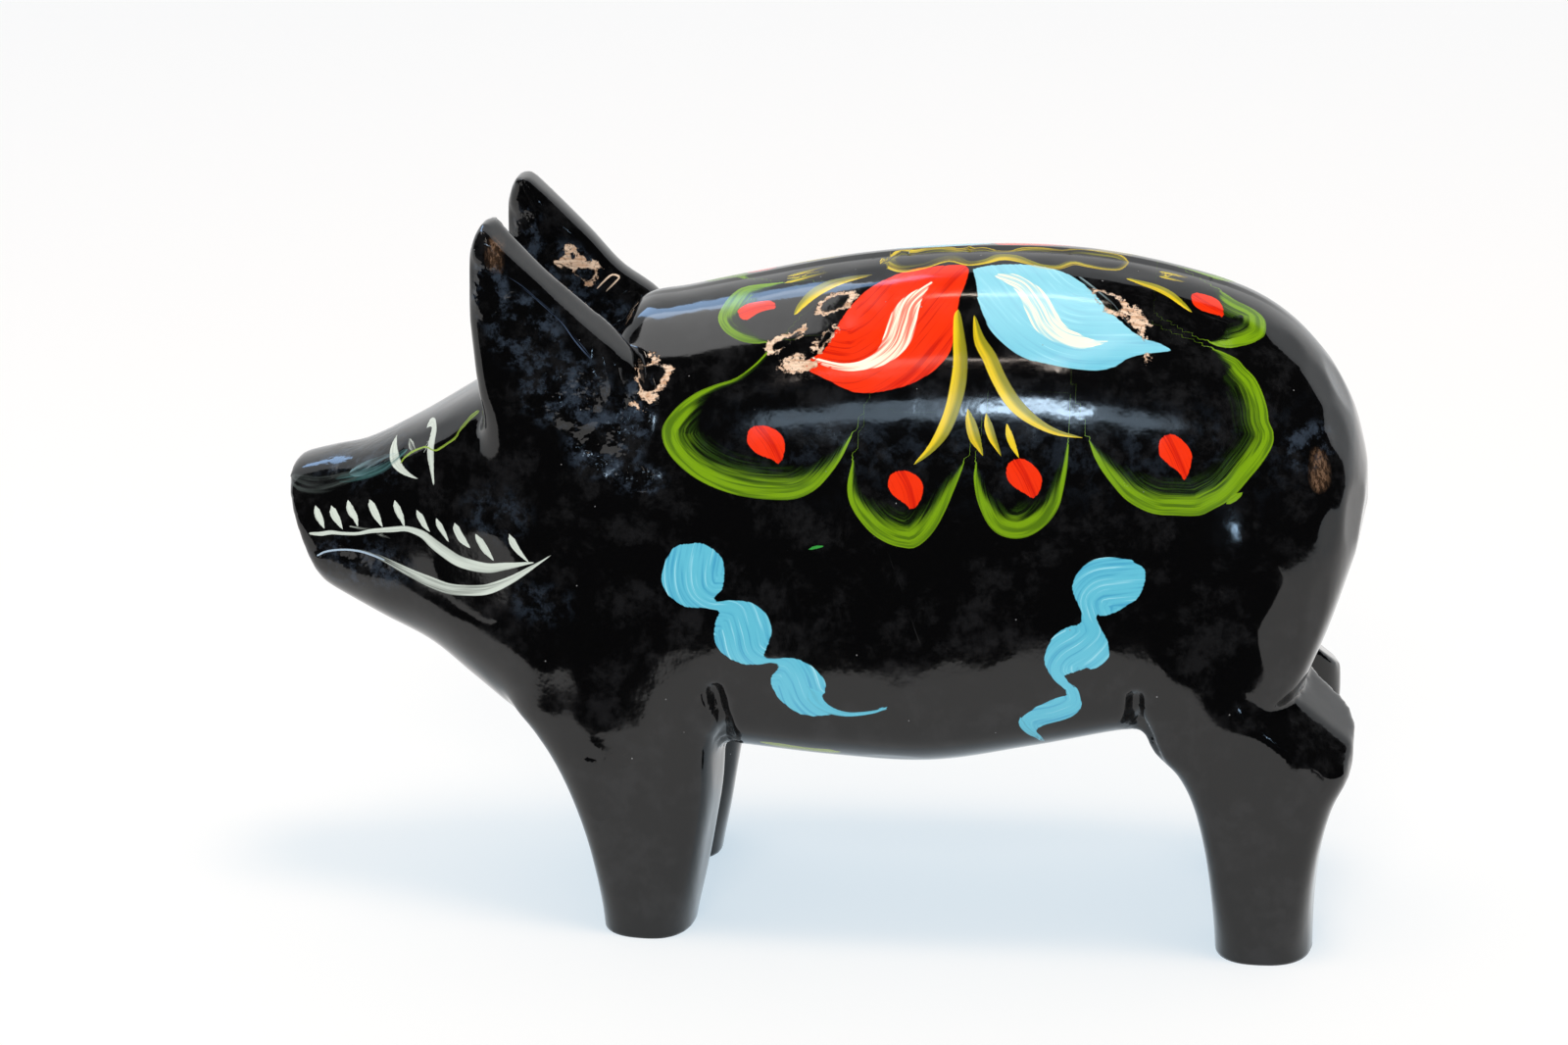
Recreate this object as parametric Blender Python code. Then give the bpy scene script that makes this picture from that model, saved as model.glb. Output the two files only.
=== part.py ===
"""Wooden pig figurine, carved from one block and standing on its own four feet.

One solid: body, legs and ears are lofts through a few measured stations, joined and softened
as a carver's knife and several coats of lacquer leave them. Sizes are in millimetres until a
mesh is made. +Z is up, the pig faces -X, and the origin is on the ground below the middle of
the figurine.
"""

import math

import bmesh
import bpy
from mathutils import Vector

MM = 0.001

# Overall sizes
LENGTH = 140.0  # snout to rump
HEIGHT = 92.0  # ground to ear tips
WIDTH = 49.0  # across the flanks

# Legs and ears, which the carver sets by themselves
LEG_GAP = 15.0  # free space between the left and right legs at the ground
EAR_GAP = 24.5  # free space between the ears at their roots
EAR_THICKNESS = 6.0  # at the roots
EAR_BEVEL = 17.0  # degrees that the rear of an ear's outer face leans in
EAR_RIDGE_INSET = 0.8  # how far the ridge before that bevel lies inside the ear's outer face
HOCK_SLOPE = 38.0  # degrees that the cut above each hock falls towards the rear
HOCK_LEAN = 10.0  # degrees that the same cut falls towards the outside
HOCK_BEVEL = 30.0  # degrees that its outer edge falls towards the outside
HOCK_BEVEL_WIDTH = 4.5

# Surface
VOXEL = 0.8
SOFTENING_PASSES = 6
BLENDING_PASSES = 110
TRIANGLES = 7800
RING_POINTS = 48
STEPS = 6  # rings between two stations

# Stations along the body, snout to rump: spine x and z, belly x and z, half width, height
# of the widest level as a share of the ring, and squareness above that level. x is a share
# of LENGTH, z of HEIGHT, and half width of WIDTH. The spine steps up behind the ears.
BODY = [
    (-0.4965, 0.608, -0.4590, 0.443, 0.205, 0.50, 2.3),
    (-0.4890, 0.616, -0.4490, 0.434, 0.222, 0.49, 2.3),
    (-0.4600, 0.627, -0.4260, 0.414, 0.236, 0.48, 2.3),
    (-0.4290, 0.637, -0.4000, 0.394, 0.258, 0.46, 2.4),
    (-0.3790, 0.664, -0.3570, 0.362, 0.296, 0.42, 2.8),
    (-0.3210, 0.722, -0.3150, 0.312, 0.348, 0.36, 3.6),
    (-0.2710, 0.772, -0.2720, 0.258, 0.396, 0.28, 3.9),
    (-0.2200, 0.798, -0.2250, 0.236, 0.436, 0.22, 3.2),
    (-0.1800, 0.804, -0.1850, 0.236, 0.458, 0.19, 2.5),
    (-0.1640, 0.858, -0.1620, 0.237, 0.466, 0.17, 2.3),
    (-0.1280, 0.879, -0.1300, 0.238, 0.474, 0.16, 2.3),
    (-0.0620, 0.906, -0.0750, 0.238, 0.487, 0.15, 2.3),
    (0.0290, 0.932, 0.0210, 0.236, 0.498, 0.15, 2.2),
    (0.1290, 0.946, 0.1140, 0.235, 0.500, 0.15, 2.2),
    (0.2290, 0.942, 0.2070, 0.250, 0.497, 0.14, 2.2),
    (0.3210, 0.920, 0.3000, 0.283, 0.488, 0.12, 2.2),
    (0.3980, 0.884, 0.3710, 0.300, 0.466, 0.12, 2.3),
    (0.4500, 0.820, 0.4290, 0.325, 0.420, 0.16, 2.3),
    (0.4830, 0.740, 0.4620, 0.420, 0.340, 0.26, 2.2),
    (0.4980, 0.662, 0.4880, 0.530, 0.195, 0.42, 2.1),
]
SNOUT_CENTRE = (-0.4800, 0.528)
RUMP_CENTRE = (0.5000, 0.598)
BELLY_SQUARENESS = 2.4  # below the widest level

# Stations down each leg: z, front x, rear x, inner and outer y. Inner y counts from the
# inside of the leg at the ground, as a share of WIDTH, and outer y is a share of the body's
# half width there.
FORELEG = [
    (0.480, -0.270, -0.080, -0.061, 0.90),
    (0.390, -0.289, -0.072, -0.049, 0.97),
    (0.329, -0.287, -0.072, -0.041, 1.00),
    (0.285, -0.264, -0.074, -0.029, 1.00),
    (0.246, -0.245, -0.077, -0.020, 1.00),
    (0.196, -0.226, -0.083, -0.012, 0.99),
    (0.130, -0.208, -0.096, -0.006, 0.97),
    (0.065, -0.197, -0.108, 0.000, 0.95),
    (0.000, -0.191, -0.116, 0.000, 0.93),
    (-0.040, -0.189, -0.117, 0.000, 0.92),
]
HINDLEG = [
    (0.480, 0.310, 0.470, -0.061, 0.90),
    (0.400, 0.305, 0.485, -0.049, 0.96),
    (0.350, 0.305, 0.494, -0.041, 0.99),
    (0.300, 0.310, 0.498, -0.024, 0.99),
    (0.262, 0.331, 0.496, -0.016, 0.99),
    (0.215, 0.349, 0.482, -0.010, 0.98),
    (0.146, 0.364, 0.466, -0.006, 0.97),
    (0.072, 0.373, 0.460, 0.000, 0.95),
    (0.000, 0.376, 0.459, 0.000, 0.93),
    (-0.040, 0.377, 0.459, 0.000, 0.92),
]
HINDLEG_WIDEST_X = 0.33  # behind this the outer side keeps straight as the rump draws in
LEG_SQUARENESS = 3.0
# Where the slanted cut would reach the back of each hind leg in the middle plane. The hock on
# the +Y side is shorter.
HOCK_TIP = (0.499, 0.336)
FAR_HOCK_TIP = (0.485, 0.346)

# Stations up each ear: z, front x, rear x, and how far the inner and outer faces lean in, as
# shares of EAR_THICKNESS.
EAR = [
    (0.560, -0.290, -0.200, 0.00, 0.27),
    (0.680, -0.298, -0.168, 0.00, 0.03),
    (0.770, -0.303, -0.152, 0.03, 0.03),
    (0.830, -0.308, -0.163, 0.07, 0.08),
    (0.873, -0.310, -0.199, 0.10, 0.13),
    (0.924, -0.310, -0.229, 0.13, 0.20),
    (0.965, -0.309, -0.256, 0.17, 0.27),
    (0.990, -0.304, -0.273, 0.22, 0.35),
    (1.003, -0.298, -0.282, 0.33, 0.47),
]
EAR_SQUARENESS = 6.0
# The ridge across an ear's outer face, from its upper to its lower end.
EAR_RIDGE = ((-0.276, 0.923), (-0.193, 0.829))


def spline(stations, steps):
    """Rows between the stations, on a Catmull-Rom curve through every column."""
    rows = []
    last = len(stations) - 1
    for i in range(last):
        before = stations[max(i - 1, 0)]
        start, end = stations[i], stations[i + 1]
        after = stations[min(i + 2, last)]
        for step in range(steps):
            t = step / steps
            rows.append(
                tuple(
                    0.5
                    * (
                        2 * b
                        + (c - a) * t
                        + (2 * a - 5 * b + 4 * c - d) * t * t
                        + (3 * b - a - 3 * c + d) * t**3
                    )
                    for a, b, c, d in zip(before, start, end, after)
                )
            )
    rows.append(tuple(stations[-1]))
    return rows


def power(value, exponent):
    """A signed power, which rounds or squares a ring."""
    return math.copysign(abs(value) ** exponent, value)


def ramp(value, start, end):
    """0 before start, 1 after end, and smooth between them."""
    t = min(max((value - start) / (end - start), 0.0), 1.0)
    return t * t * (3 - 2 * t)


def half_width(x):
    """The body's half width in millimetres at x, a share of LENGTH."""
    rows = [((row[0] + row[2]) / 2, row[4]) for row in BODY]
    for (x1, w1), (x2, w2) in zip(rows, rows[1:]):
        if x <= x2:
            break
    share = min(max((x - x1) / (x2 - x1), 0.0), 1.0)
    return (w1 + (w2 - w1) * share) * WIDTH


def body_ring(row):
    """A closed ring between a spine point and a belly point, square to neither axis."""
    top_x, top_z, low_x, low_z, half, widest, squareness = row
    top = Vector((top_x * LENGTH, 0, top_z * HEIGHT))
    low = Vector((low_x * LENGTH, 0, low_z * HEIGHT))
    middle = low.lerp(top, widest)
    points = []
    for i in range(RING_POINTS):
        angle = 2 * math.pi * i / RING_POINTS
        above = math.sin(angle) > 0
        exponent = 2 / (squareness if above else BELLY_SQUARENESS)
        rise = power(math.sin(angle), exponent)
        side = power(math.cos(angle), exponent)
        reach = (top - middle) if above else (middle - low)
        points.append(middle + reach * rise + Vector((0, side * half * WIDTH, 0)))
    return points


def level_ring(z, front, rear, near, far_at, squareness):
    """A level ring on the -Y side. x is a share along the pig, and far_at gives y from it."""
    middle = (front + rear) / 2
    points = []
    for i in range(RING_POINTS):
        angle = 2 * math.pi * i / RING_POINTS
        x = middle + power(math.cos(angle), 2 / squareness) * (rear - front) / 2
        across = (1 - power(math.sin(angle), 2 / squareness)) / 2
        y = near + (far_at(x) - near) * across
        points.append(Vector((x * LENGTH, -y, z * HEIGHT)))
    return points


def leg_ring(row):
    z, front, rear, inner_offset, outer = row

    def outer_y(x):
        return outer * half_width(min(x, HINDLEG_WIDEST_X))

    inner = LEG_GAP / 2 + inner_offset * WIDTH
    return level_ring(z, front, rear, inner, outer_y, LEG_SQUARENESS)


def ear_ring(row):
    z, front, rear, inner_lean, outer_lean = row
    near = EAR_GAP / 2 - inner_lean * EAR_THICKNESS
    far = EAR_GAP / 2 + (1 - outer_lean) * EAR_THICKNESS
    return level_ring(z, front, rear, near, lambda x: far, EAR_SQUARENESS)


def skin(rings, start=None, end=None):
    """A closed mesh through the rings, with a pole or a flat cap at each end."""
    mesh = bmesh.new()
    loops = [[mesh.verts.new(p) for p in ring] for ring in rings]
    for one, two in zip(loops, loops[1:]):
        for i in range(len(one)):
            j = (i + 1) % len(one)
            mesh.faces.new((one[i], one[j], two[j], two[i]))
    for loop, pole in ((loops[0], start), (loops[-1], end)):
        if pole is None:
            mesh.faces.new(loop)
        else:
            tip = mesh.verts.new(pole)
            for i in range(len(loop)):
                mesh.faces.new((loop[i], loop[(i + 1) % len(loop)], tip))
    bmesh.ops.recalc_face_normals(mesh, faces=mesh.faces)
    return mesh


def pared(mesh, point, normal):
    """Takes off what lies beyond a plane, as one straight cut of the knife does."""
    cut = bmesh.ops.bisect_plane(
        mesh,
        geom=mesh.verts[:] + mesh.edges[:] + mesh.faces[:],
        plane_co=point,
        plane_no=normal,
        clear_outer=True,
    )
    rim = [e for e in cut["geom_cut"] if isinstance(e, bmesh.types.BMEdge)]
    bmesh.ops.contextual_create(mesh, geom=rim)
    bmesh.ops.recalc_face_normals(mesh, faces=mesh.faces)
    return mesh


def body_mesh():
    rings = [body_ring(row) for row in spline(BODY, STEPS)]
    snout = Vector((SNOUT_CENTRE[0] * LENGTH, 0, SNOUT_CENTRE[1] * HEIGHT))
    rump = Vector((RUMP_CENTRE[0] * LENGTH, 0, RUMP_CENTRE[1] * HEIGHT))
    return skin(rings, start=snout, end=rump)


def foreleg_mesh():
    return skin([leg_ring(row) for row in spline(FORELEG, STEPS)])


def hindleg_mesh(hock_tip):
    """A hind leg, with the slanted and bevelled cut that leaves the hock standing out behind."""
    foot_rear = HINDLEG[-1][2]
    shorter = (HOCK_TIP[0] - hock_tip[0]) / (HOCK_TIP[0] - foot_rear)
    rows = []
    for z, front, rear, inner, outer in spline(HINDLEG, STEPS):
        rows.append((z, front, rear - shorter * (rear - foot_rear), inner, outer))
    mesh = skin([leg_ring(row) for row in rows])
    tip = Vector((hock_tip[0] * LENGTH, 0, hock_tip[1] * HEIGHT))
    upward = Vector((math.sin(math.radians(HOCK_SLOPE)), 0, math.cos(math.radians(HOCK_SLOPE))))
    outward = Vector((0, -1, 0))
    lean = math.tan(math.radians(HOCK_LEAN))
    bevel = math.tan(math.radians(HOCK_BEVEL))
    pared(mesh, tip, upward + outward * lean)
    edge = tip + outward * (half_width(HINDLEG_WIDEST_X) - HOCK_BEVEL_WIDTH)
    edge -= upward * (-outward.dot(tip - edge) * lean)
    return pared(mesh, edge, upward + outward * bevel)


def ear_mesh():
    """An ear whose outer face leans in behind its ridge."""
    (x1, z1), (x2, z2) = EAR_RIDGE
    outer_y = -(EAR_GAP / 2 + EAR_THICKNESS - EAR_RIDGE_INSET)
    top = Vector((x1 * LENGTH, outer_y, z1 * HEIGHT))
    along = Vector(((x2 - x1) * LENGTH, 0, (z2 - z1) * HEIGHT)).normalized()
    outward = Vector((0, -1, 0))
    rearward = outward.cross(along)
    bevel = math.radians(EAR_BEVEL)
    normal = outward * math.cos(bevel) + rearward * math.sin(bevel)
    return pared(skin([ear_ring(row) for row in spline(EAR, STEPS)]), top, normal)


def mirrored(mesh):
    """A copy of a mesh on the other side of the pig."""
    other = mesh.copy()
    for v in other.verts:
        v.co.y = -v.co.y
    bmesh.ops.reverse_faces(other, faces=other.faces)
    return other


def as_object(meshes, name):
    """One object from several meshes in millimetres."""
    whole = bmesh.new()
    for mesh in meshes:
        part = bpy.data.meshes.new("part")
        mesh.to_mesh(part)
        whole.from_mesh(part)
        mesh.free()
        bpy.data.meshes.remove(part)
    bmesh.ops.scale(whole, vec=(MM, MM, MM), verts=whole.verts)
    data = bpy.data.meshes.new(name)
    whole.to_mesh(data)
    whole.free()
    made = bpy.data.objects.new(name, data)
    bpy.context.collection.objects.link(made)
    return made


def with_modifier(piece, kind, **values):
    """Adds one modifier and applies it."""
    modifier = piece.modifiers.new(kind.title(), kind)
    for key, value in values.items():
        setattr(modifier, key, value)
    graph = bpy.context.evaluated_depsgraph_get()
    data = bpy.data.meshes.new_from_object(piece.evaluated_get(graph))
    piece.modifiers.clear()
    piece.data = data
    return piece


def shoulder_share(x, y, z):
    """How much a point is softened, so that legs run flush into the flanks."""
    outside = ramp(abs(y) / WIDTH, 0.30, 0.38)
    level = ramp(z / HEIGHT, 0.26, 0.33) * (1 - ramp(z / HEIGHT, 0.46, 0.56))
    return outside * level * (1 - ramp(x / LENGTH, 0.35, 0.42))


def ear_root_share(x, y, z):
    """The same where the outer side of an ear runs into the cheek."""
    outside = ramp(abs(y) / WIDTH, 0.28, 0.34)
    level = ramp(z / HEIGHT, 0.56, 0.62) * (1 - ramp(z / HEIGHT, 0.74, 0.84))
    return outside * level * (1 - ramp(x / LENGTH, -0.18, -0.13))


def blend(piece, name, share):
    """Softens the places that share picks out, far more than the rest."""
    group = piece.vertex_groups.new(name=name)
    for vertex in piece.data.vertices:
        weight = share(*(vertex.co / MM))
        if weight > 0:
            group.add([vertex.index], weight, "REPLACE")
    with_modifier(piece, "SMOOTH", factor=0.5, iterations=BLENDING_PASSES, vertex_group=name)
    piece.vertex_groups.clear()


def lacquer():
    """Black gloss lacquer."""
    material = bpy.data.materials.new("black_lacquer")
    material.use_nodes = True
    shader = material.node_tree.nodes["Principled BSDF"]
    shader.inputs["Base Color"].default_value = (0.006, 0.006, 0.007, 1)
    shader.inputs["Roughness"].default_value = 0.12
    shader.inputs["Metallic"].default_value = 0.0
    return material


def flat_feet(piece):
    """Cuts the legs off level with the ground, so that the feet are flat."""
    mesh = bmesh.new()
    mesh.from_mesh(piece.data)
    bmesh.ops.bisect_plane(
        mesh,
        geom=mesh.verts[:] + mesh.edges[:] + mesh.faces[:],
        plane_co=(0, 0, 0),
        plane_no=(0, 0, -1),
        clear_outer=True,
    )
    bmesh.ops.holes_fill(mesh, edges=[e for e in mesh.edges if e.is_boundary])
    bmesh.ops.triangulate(mesh, faces=mesh.faces)
    mesh.to_mesh(piece.data)
    mesh.free()


def centre_on_ground(piece):
    """Puts the origin on the ground, under the middle of the figurine."""
    for axis in ("x", "y"):
        places = [getattr(v.co, axis) for v in piece.data.vertices]
        middle = (min(places) + max(places)) / 2
        for vertex in piece.data.vertices:
            setattr(vertex.co, axis, getattr(vertex.co, axis) - middle)


def build():
    for old in list(bpy.data.objects):
        bpy.data.objects.remove(old)
    meshes = [body_mesh()]
    for side in (foreleg_mesh(), ear_mesh()):
        meshes += [side, mirrored(side)]
    meshes += [hindleg_mesh(HOCK_TIP), mirrored(hindleg_mesh(FAR_HOCK_TIP))]
    pig = as_object(meshes, "wooden_pig")
    with_modifier(pig, "REMESH", mode="VOXEL", voxel_size=VOXEL * MM)
    blend(pig, "shoulders", shoulder_share)
    blend(pig, "ear_roots", ear_root_share)
    with_modifier(pig, "SMOOTH", factor=0.5, iterations=SOFTENING_PASSES)
    pig.data.calc_loop_triangles()
    ratio = TRIANGLES / len(pig.data.loop_triangles)
    with_modifier(pig, "DECIMATE", ratio=min(ratio, 1.0))
    flat_feet(pig)
    centre_on_ground(pig)
    pig.data.materials.append(lacquer())
    pig.data.shade_smooth()
    pig.data.set_sharp_from_angle(angle=math.radians(40))


build()
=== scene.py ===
"""Looks of the wooden pig figurine: one carved body in black gloss lacquer with painted folk
ornament, on a pale table. Lengths are millimetres until a mesh is made. The pig faces -X, its
left side (-Y) is towards the camera, and +Z is up.
"""

import math

import bmesh
import bpy
import numpy as np
from mathutils import Matrix, Vector


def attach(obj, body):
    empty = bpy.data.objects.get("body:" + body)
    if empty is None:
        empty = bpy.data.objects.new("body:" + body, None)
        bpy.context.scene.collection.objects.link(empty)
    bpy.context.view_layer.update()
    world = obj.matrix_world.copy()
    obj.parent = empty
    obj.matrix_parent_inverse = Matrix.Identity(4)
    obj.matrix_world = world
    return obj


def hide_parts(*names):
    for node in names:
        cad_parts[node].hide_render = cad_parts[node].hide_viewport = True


MM = 0.001
OUTWARD = Vector((0, -1, 0))

# Overall sizes, as in the source of the part
LENGTH = 140.0
HEIGHT = 92.0
WIDTH = 49.0
LEG_GAP = 15.0
EAR_GAP = 23.6
EAR_THICKNESS = 7.4
EAR_BEVEL = 12.0
EAR_RIDGE_INSET = 0.8
HOCK_SLOPE = 38.0
HOCK_LEAN = 10.0
HOCK_BEVEL = 30.0
HOCK_BEVEL_WIDTH = 7.0

# Surface
VOXEL = 0.64
SOFTENING_PASSES = 5
BLENDING_PASSES = 172
NECK_SOFTNESS = 0.05
RING_POINTS = 96
STEPS = 10
SMOOTHING = 0.5
# Where a point is softened: the shoulders and haunches, where legs run flush into the flanks,
# the ears' outer sides, which run into the cheeks, and the step in the spine behind the ears.
# x, y and z are shares of LENGTH, WIDTH and HEIGHT, and each pair is where the softening starts
# and is full, or where it begins to fade and ends.
SHOULDER_LEVEL = ((0.30, 0.38), (0.46, 0.56))
SHOULDER_SIDE = (0.30, 0.38)
SHOULDER_REAR = (0.35, 0.42)
EAR_ROOT_LEVEL = ((0.56, 0.62), (0.74, 0.84))
EAR_ROOT_SIDE = (0.28, 0.34)
EAR_ROOT_FRONT = (-0.30, -0.27)
EAR_ROOT_REAR = (-0.18, -0.13)
BROW_LEVEL = (0.70, 0.77)
BROW_FRONT = (-0.37, -0.33)
NECK_LEVEL = (0.70, 0.76)
NECK_ALONG = ((-0.23, -0.20), (-0.16, -0.13))

# Stations along the body, snout to rump: spine x and z, belly x and z, half width, height
# of the widest level as a share of the ring, and squareness above that level. x is a share
# of LENGTH, z of HEIGHT, and half width of WIDTH.
BODY = [
    (-0.4965, 0.612, -0.4590, 0.443, 0.205, 0.50, 2.3),
    (-0.4890, 0.620, -0.4490, 0.434, 0.222, 0.49, 2.3),
    (-0.4600, 0.632, -0.4260, 0.414, 0.236, 0.48, 2.3),
    (-0.4290, 0.643, -0.4000, 0.394, 0.258, 0.46, 2.4),
    (-0.3790, 0.681, -0.3570, 0.362, 0.296, 0.42, 2.8),
    (-0.3210, 0.732, -0.3150, 0.314, 0.348, 0.36, 3.6),
    (-0.2710, 0.776, -0.2720, 0.270, 0.396, 0.28, 3.9),
    (-0.2200, 0.800, -0.2250, 0.242, 0.436, 0.22, 3.2),
    (-0.1900, 0.822, -0.1870, 0.239, 0.456, 0.19, 2.5),
    (-0.1760, 0.852, -0.1740, 0.240, 0.461, 0.18, 2.4),
    (-0.1580, 0.869, -0.1570, 0.244, 0.466, 0.17, 2.3),
    (-0.1280, 0.877, -0.1300, 0.250, 0.474, 0.16, 2.3),
    (-0.0620, 0.900, -0.0750, 0.254, 0.487, 0.15, 2.3),
    (0.0290, 0.929, 0.0210, 0.242, 0.498, 0.15, 2.2),
    (0.1290, 0.946, 0.1140, 0.239, 0.500, 0.15, 2.2),
    (0.2290, 0.946, 0.2070, 0.268, 0.497, 0.14, 2.2),
    (0.3210, 0.924, 0.3000, 0.302, 0.488, 0.12, 2.2),
    (0.3980, 0.884, 0.3710, 0.300, 0.466, 0.12, 2.3),
    (0.4500, 0.820, 0.4290, 0.325, 0.420, 0.16, 2.3),
    (0.4830, 0.740, 0.4620, 0.420, 0.340, 0.26, 2.2),
    (0.4980, 0.662, 0.4880, 0.530, 0.195, 0.42, 2.1),
]
SNOUT_CENTRE = (-0.4800, 0.528)
RUMP_CENTRE = (0.5000, 0.598)
BELLY_SQUARENESS = 2.4

# Stations down each leg: z, front x and rear x, how far its inner face is set off half the gap
# between the legs, as a share of WIDTH, and its outer face as a share of the body's half width.
FORELEG = [
    (0.480, -0.268, -0.080, -0.061, 0.90),
    (0.390, -0.284, -0.074, -0.049, 0.97),
    (0.329, -0.281, -0.076, -0.041, 1.00),
    (0.285, -0.257, -0.078, -0.029, 1.00),
    (0.246, -0.238, -0.079, -0.020, 1.00),
    (0.196, -0.221, -0.081, -0.012, 0.99),
    (0.130, -0.205, -0.088, -0.006, 0.98),
    (0.065, -0.196, -0.095, 0.000, 0.97),
    (0.000, -0.191, -0.103, 0.000, 0.96),
    (-0.040, -0.190, -0.104, 0.000, 0.96),
]
HINDLEG = [
    (0.480, 0.310, 0.470, -0.061, 0.90),
    (0.400, 0.305, 0.485, -0.049, 0.96),
    (0.350, 0.305, 0.494, -0.041, 0.99),
    (0.300, 0.310, 0.498, -0.024, 0.99),
    (0.262, 0.334, 0.496, -0.016, 0.99),
    (0.215, 0.350, 0.482, -0.010, 0.98),
    (0.146, 0.362, 0.471, -0.006, 0.98),
    (0.072, 0.369, 0.466, 0.000, 0.97),
    (0.000, 0.373, 0.466, 0.000, 0.96),
    (-0.040, 0.373, 0.466, 0.000, 0.96),
]
HINDLEG_WIDEST_X = 0.33
LEG_SQUARENESS = 4.4
FOOT_SQUARENESS = 2.5
FOOT_TOP = 0.14
LEG_TURN = 1.3
FOOT_SPARE = 3.4
HOCK_TIP = (0.499, 0.336)
FAR_HOCK_TIP = (0.485, 0.346)

# Stations up each ear: z, front x, rear x, and how far the inner and outer faces lean in.
EAR = [
    (0.560, -0.288, -0.200, 0.00, 0.27),
    (0.680, -0.296, -0.166, 0.00, 0.03),
    (0.770, -0.301, -0.152, 0.03, 0.03),
    (0.830, -0.306, -0.163, 0.06, 0.07),
    (0.873, -0.308, -0.199, 0.08, 0.11),
    (0.924, -0.308, -0.233, 0.10, 0.16),
    (0.965, -0.307, -0.260, 0.12, 0.21),
    (0.990, -0.302, -0.277, 0.16, 0.27),
    (1.003, -0.297, -0.285, 0.26, 0.38),
]
EAR_SQUARENESS = 3.6
EAR_RIDGE = ((-0.276, 0.923), (-0.193, 0.829))
EAR_REAR = ((-0.277, 0.993), (-0.163, 0.833))
NEAR_SLANT = 14.0
FAR_SLANT = 2.0
# How far the near and the far ear run out behind, where they meet the neck, how much shorter
# the near one is, and between which levels, in millimetres.
NEAR_FLARE = 1.6
FAR_FLARE = -0.5
FLARE_LEVEL = 0.868
FLARE_SPREAD = 0.035
NEAR_EAR_SHORTER = 0.5
SHORTER_OVER = (76, 90)

# Knife cuts: how many on each side, the box that they start in (mm), the way they run, how
# deep they are, and half their length.
KNIFE_CUTS = [
    (36, (-62, 2, 22), (-24, 24, 50), (0.75, 0.0, -0.66), (0.08, 0.28), 8.0),
    (14, (-70, 1, 44), (-36, 16, 72), (1.0, 0.0, 0.3), (0.05, 0.15), 7.0),
    (44, (50, 4, 36), (71, 24, 84), (0.1, 0.0, 1.0), (0.08, 0.24), 7.0),
    (12, (-14, 0, 76), (52, 12, 90), (1.0, 0.0, 0.0), (0.04, 0.10), 14.0),
    (10, (-8, 6, 22), (44, 25, 30), (1.0, 0.0, 0.0), (0.06, 0.15), 12.0),
    (8, (-40, 8, 2), (-6, 25, 26), (0.1, 0.0, 1.0), (0.06, 0.15), 12.0),
    (8, (46, 8, 2), (70, 25, 24), (0.1, 0.0, 1.0), (0.06, 0.15), 10.0),
    (16, (50, 8, 24), (71, 25, 38), (0.5, 0.0, -0.8), (0.10, 0.30), 5.0),
    (12, (-44, 8, 60), (-22, 19, 90), (0.1, 0.0, 1.0), (0.04, 0.10), 8.0),
    (14, (-26, 8, 56), (-16, 24, 74), (0.0, 0.0, 1.0), (0.08, 0.20), 6.0),
]
CUT_LEAN = 0.06
CUT_FACING = 0.4
CUT_SEED = 11
TOO_DEEP = 1.6
FINISHING_PASSES = 2
# Creases and steps lie where the surface faces sideways, this far off the middle (mm).
SIDE_FACING = (0.2, 0.6)
OFF_SPINE = 6
# Creases where the knife met another cut: the line by x and z, its depth and half width.
CREASES = [
    ([(-10.4, 25.5), (-10.3, 28.5), (-10.8, 31.5), (-11.4, 34.0)], 2.3, 1.6),
    ([(44.2, 25.5), (42.8, 28.5), (41.8, 31.5), (41.7, 35.0)], 2.1, 1.5),
    ([(-27.8, 24.6), (-26.6, 24.2)], 0.3, 0.8),
    ([(-25.9, 76.0), (-24.6, 71.5), (-26.0, 67.5), (-28.2, 64.3), (-24.0, 62.9)], 0.45, 1.3),
    ([(-23.2, 74.0), (-22.6, 70.0), (-23.4, 67.0)], 0.35, 1.0),
]
# Steps in the cheeks where one cut ends on another: the line by x and z, how far the side on
# its left is set back, how wide the wall is, and over what length the step runs out.
TERRACES = [
    ([(-43.8, 83.6), (-41.5, 83.4), (-39.2, 82.8)], 0.60, 3.4, 5.0),
    ([(-39.4, 83.6), (-38.0, 80.6), (-36.0, 77.4), (-33.2, 73.6), (-31.0, 71.4)], 0.36, 1.3, 6.0),
    ([(-32.4, 71.2), (-30.6, 69.4), (-28.4, 68.2), (-26.4, 68.2)], 0.42, 1.4, 6.0),
    ([(-28.6, 62.8), (-27.2, 64.2), (-25.4, 65.6)], 0.34, 1.2, 5.0),
    ([(-26.8, 61.2), (-24.2, 60.8), (-21.2, 61.2)], 0.40, 1.3, 6.0),
]
# Where the lacquer is hammered and scuffed, and tinted bluish there as a painted reflection:
# x, z, half length along x and z, and how much.
ROUGH_AND_REFLECTION_SPOTS = [
    (-40.6, 84.0, 2.6, 4.6, 1.3),
    (-36.0, 79.0, 5.0, 5.0, 1.0),
    (-31.0, 71.5, 6.0, 5.0, 1.2),
    (-26.0, 64.8, 5.0, 4.5, 1.2),
    (-22.0, 60.5, 4.0, 2.0, 1.2),
    (-22.0, 69.0, 2.4, 4.4, 1.0),
    (-60.5, 60.0, 9.0, 4.6, 0.5),
    (-40.0, 55.0, 5.0, 4.0, 0.4),
    (-60.0, 46.0, 9.0, 4.0, 0.5),
    (-34.0, 44.0, 5.0, 3.0, 0.35),
    (62.0, 66.0, 3.4, 3.0, 0.8),
]
# Over which shares of its half length, squared, such a spot fades
ROUGH_EDGE = (0.2, 1.3)
# A band of fine scuffs along the flanks, which also carry a faint painted bluish reflection: its
# level and half height, how much, and where along the pig it starts and ends.
ROUGH_AND_REFLECTION_BAND = (66.0, 4.5, 0.2, (-16, 0), (52, 68))

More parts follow.
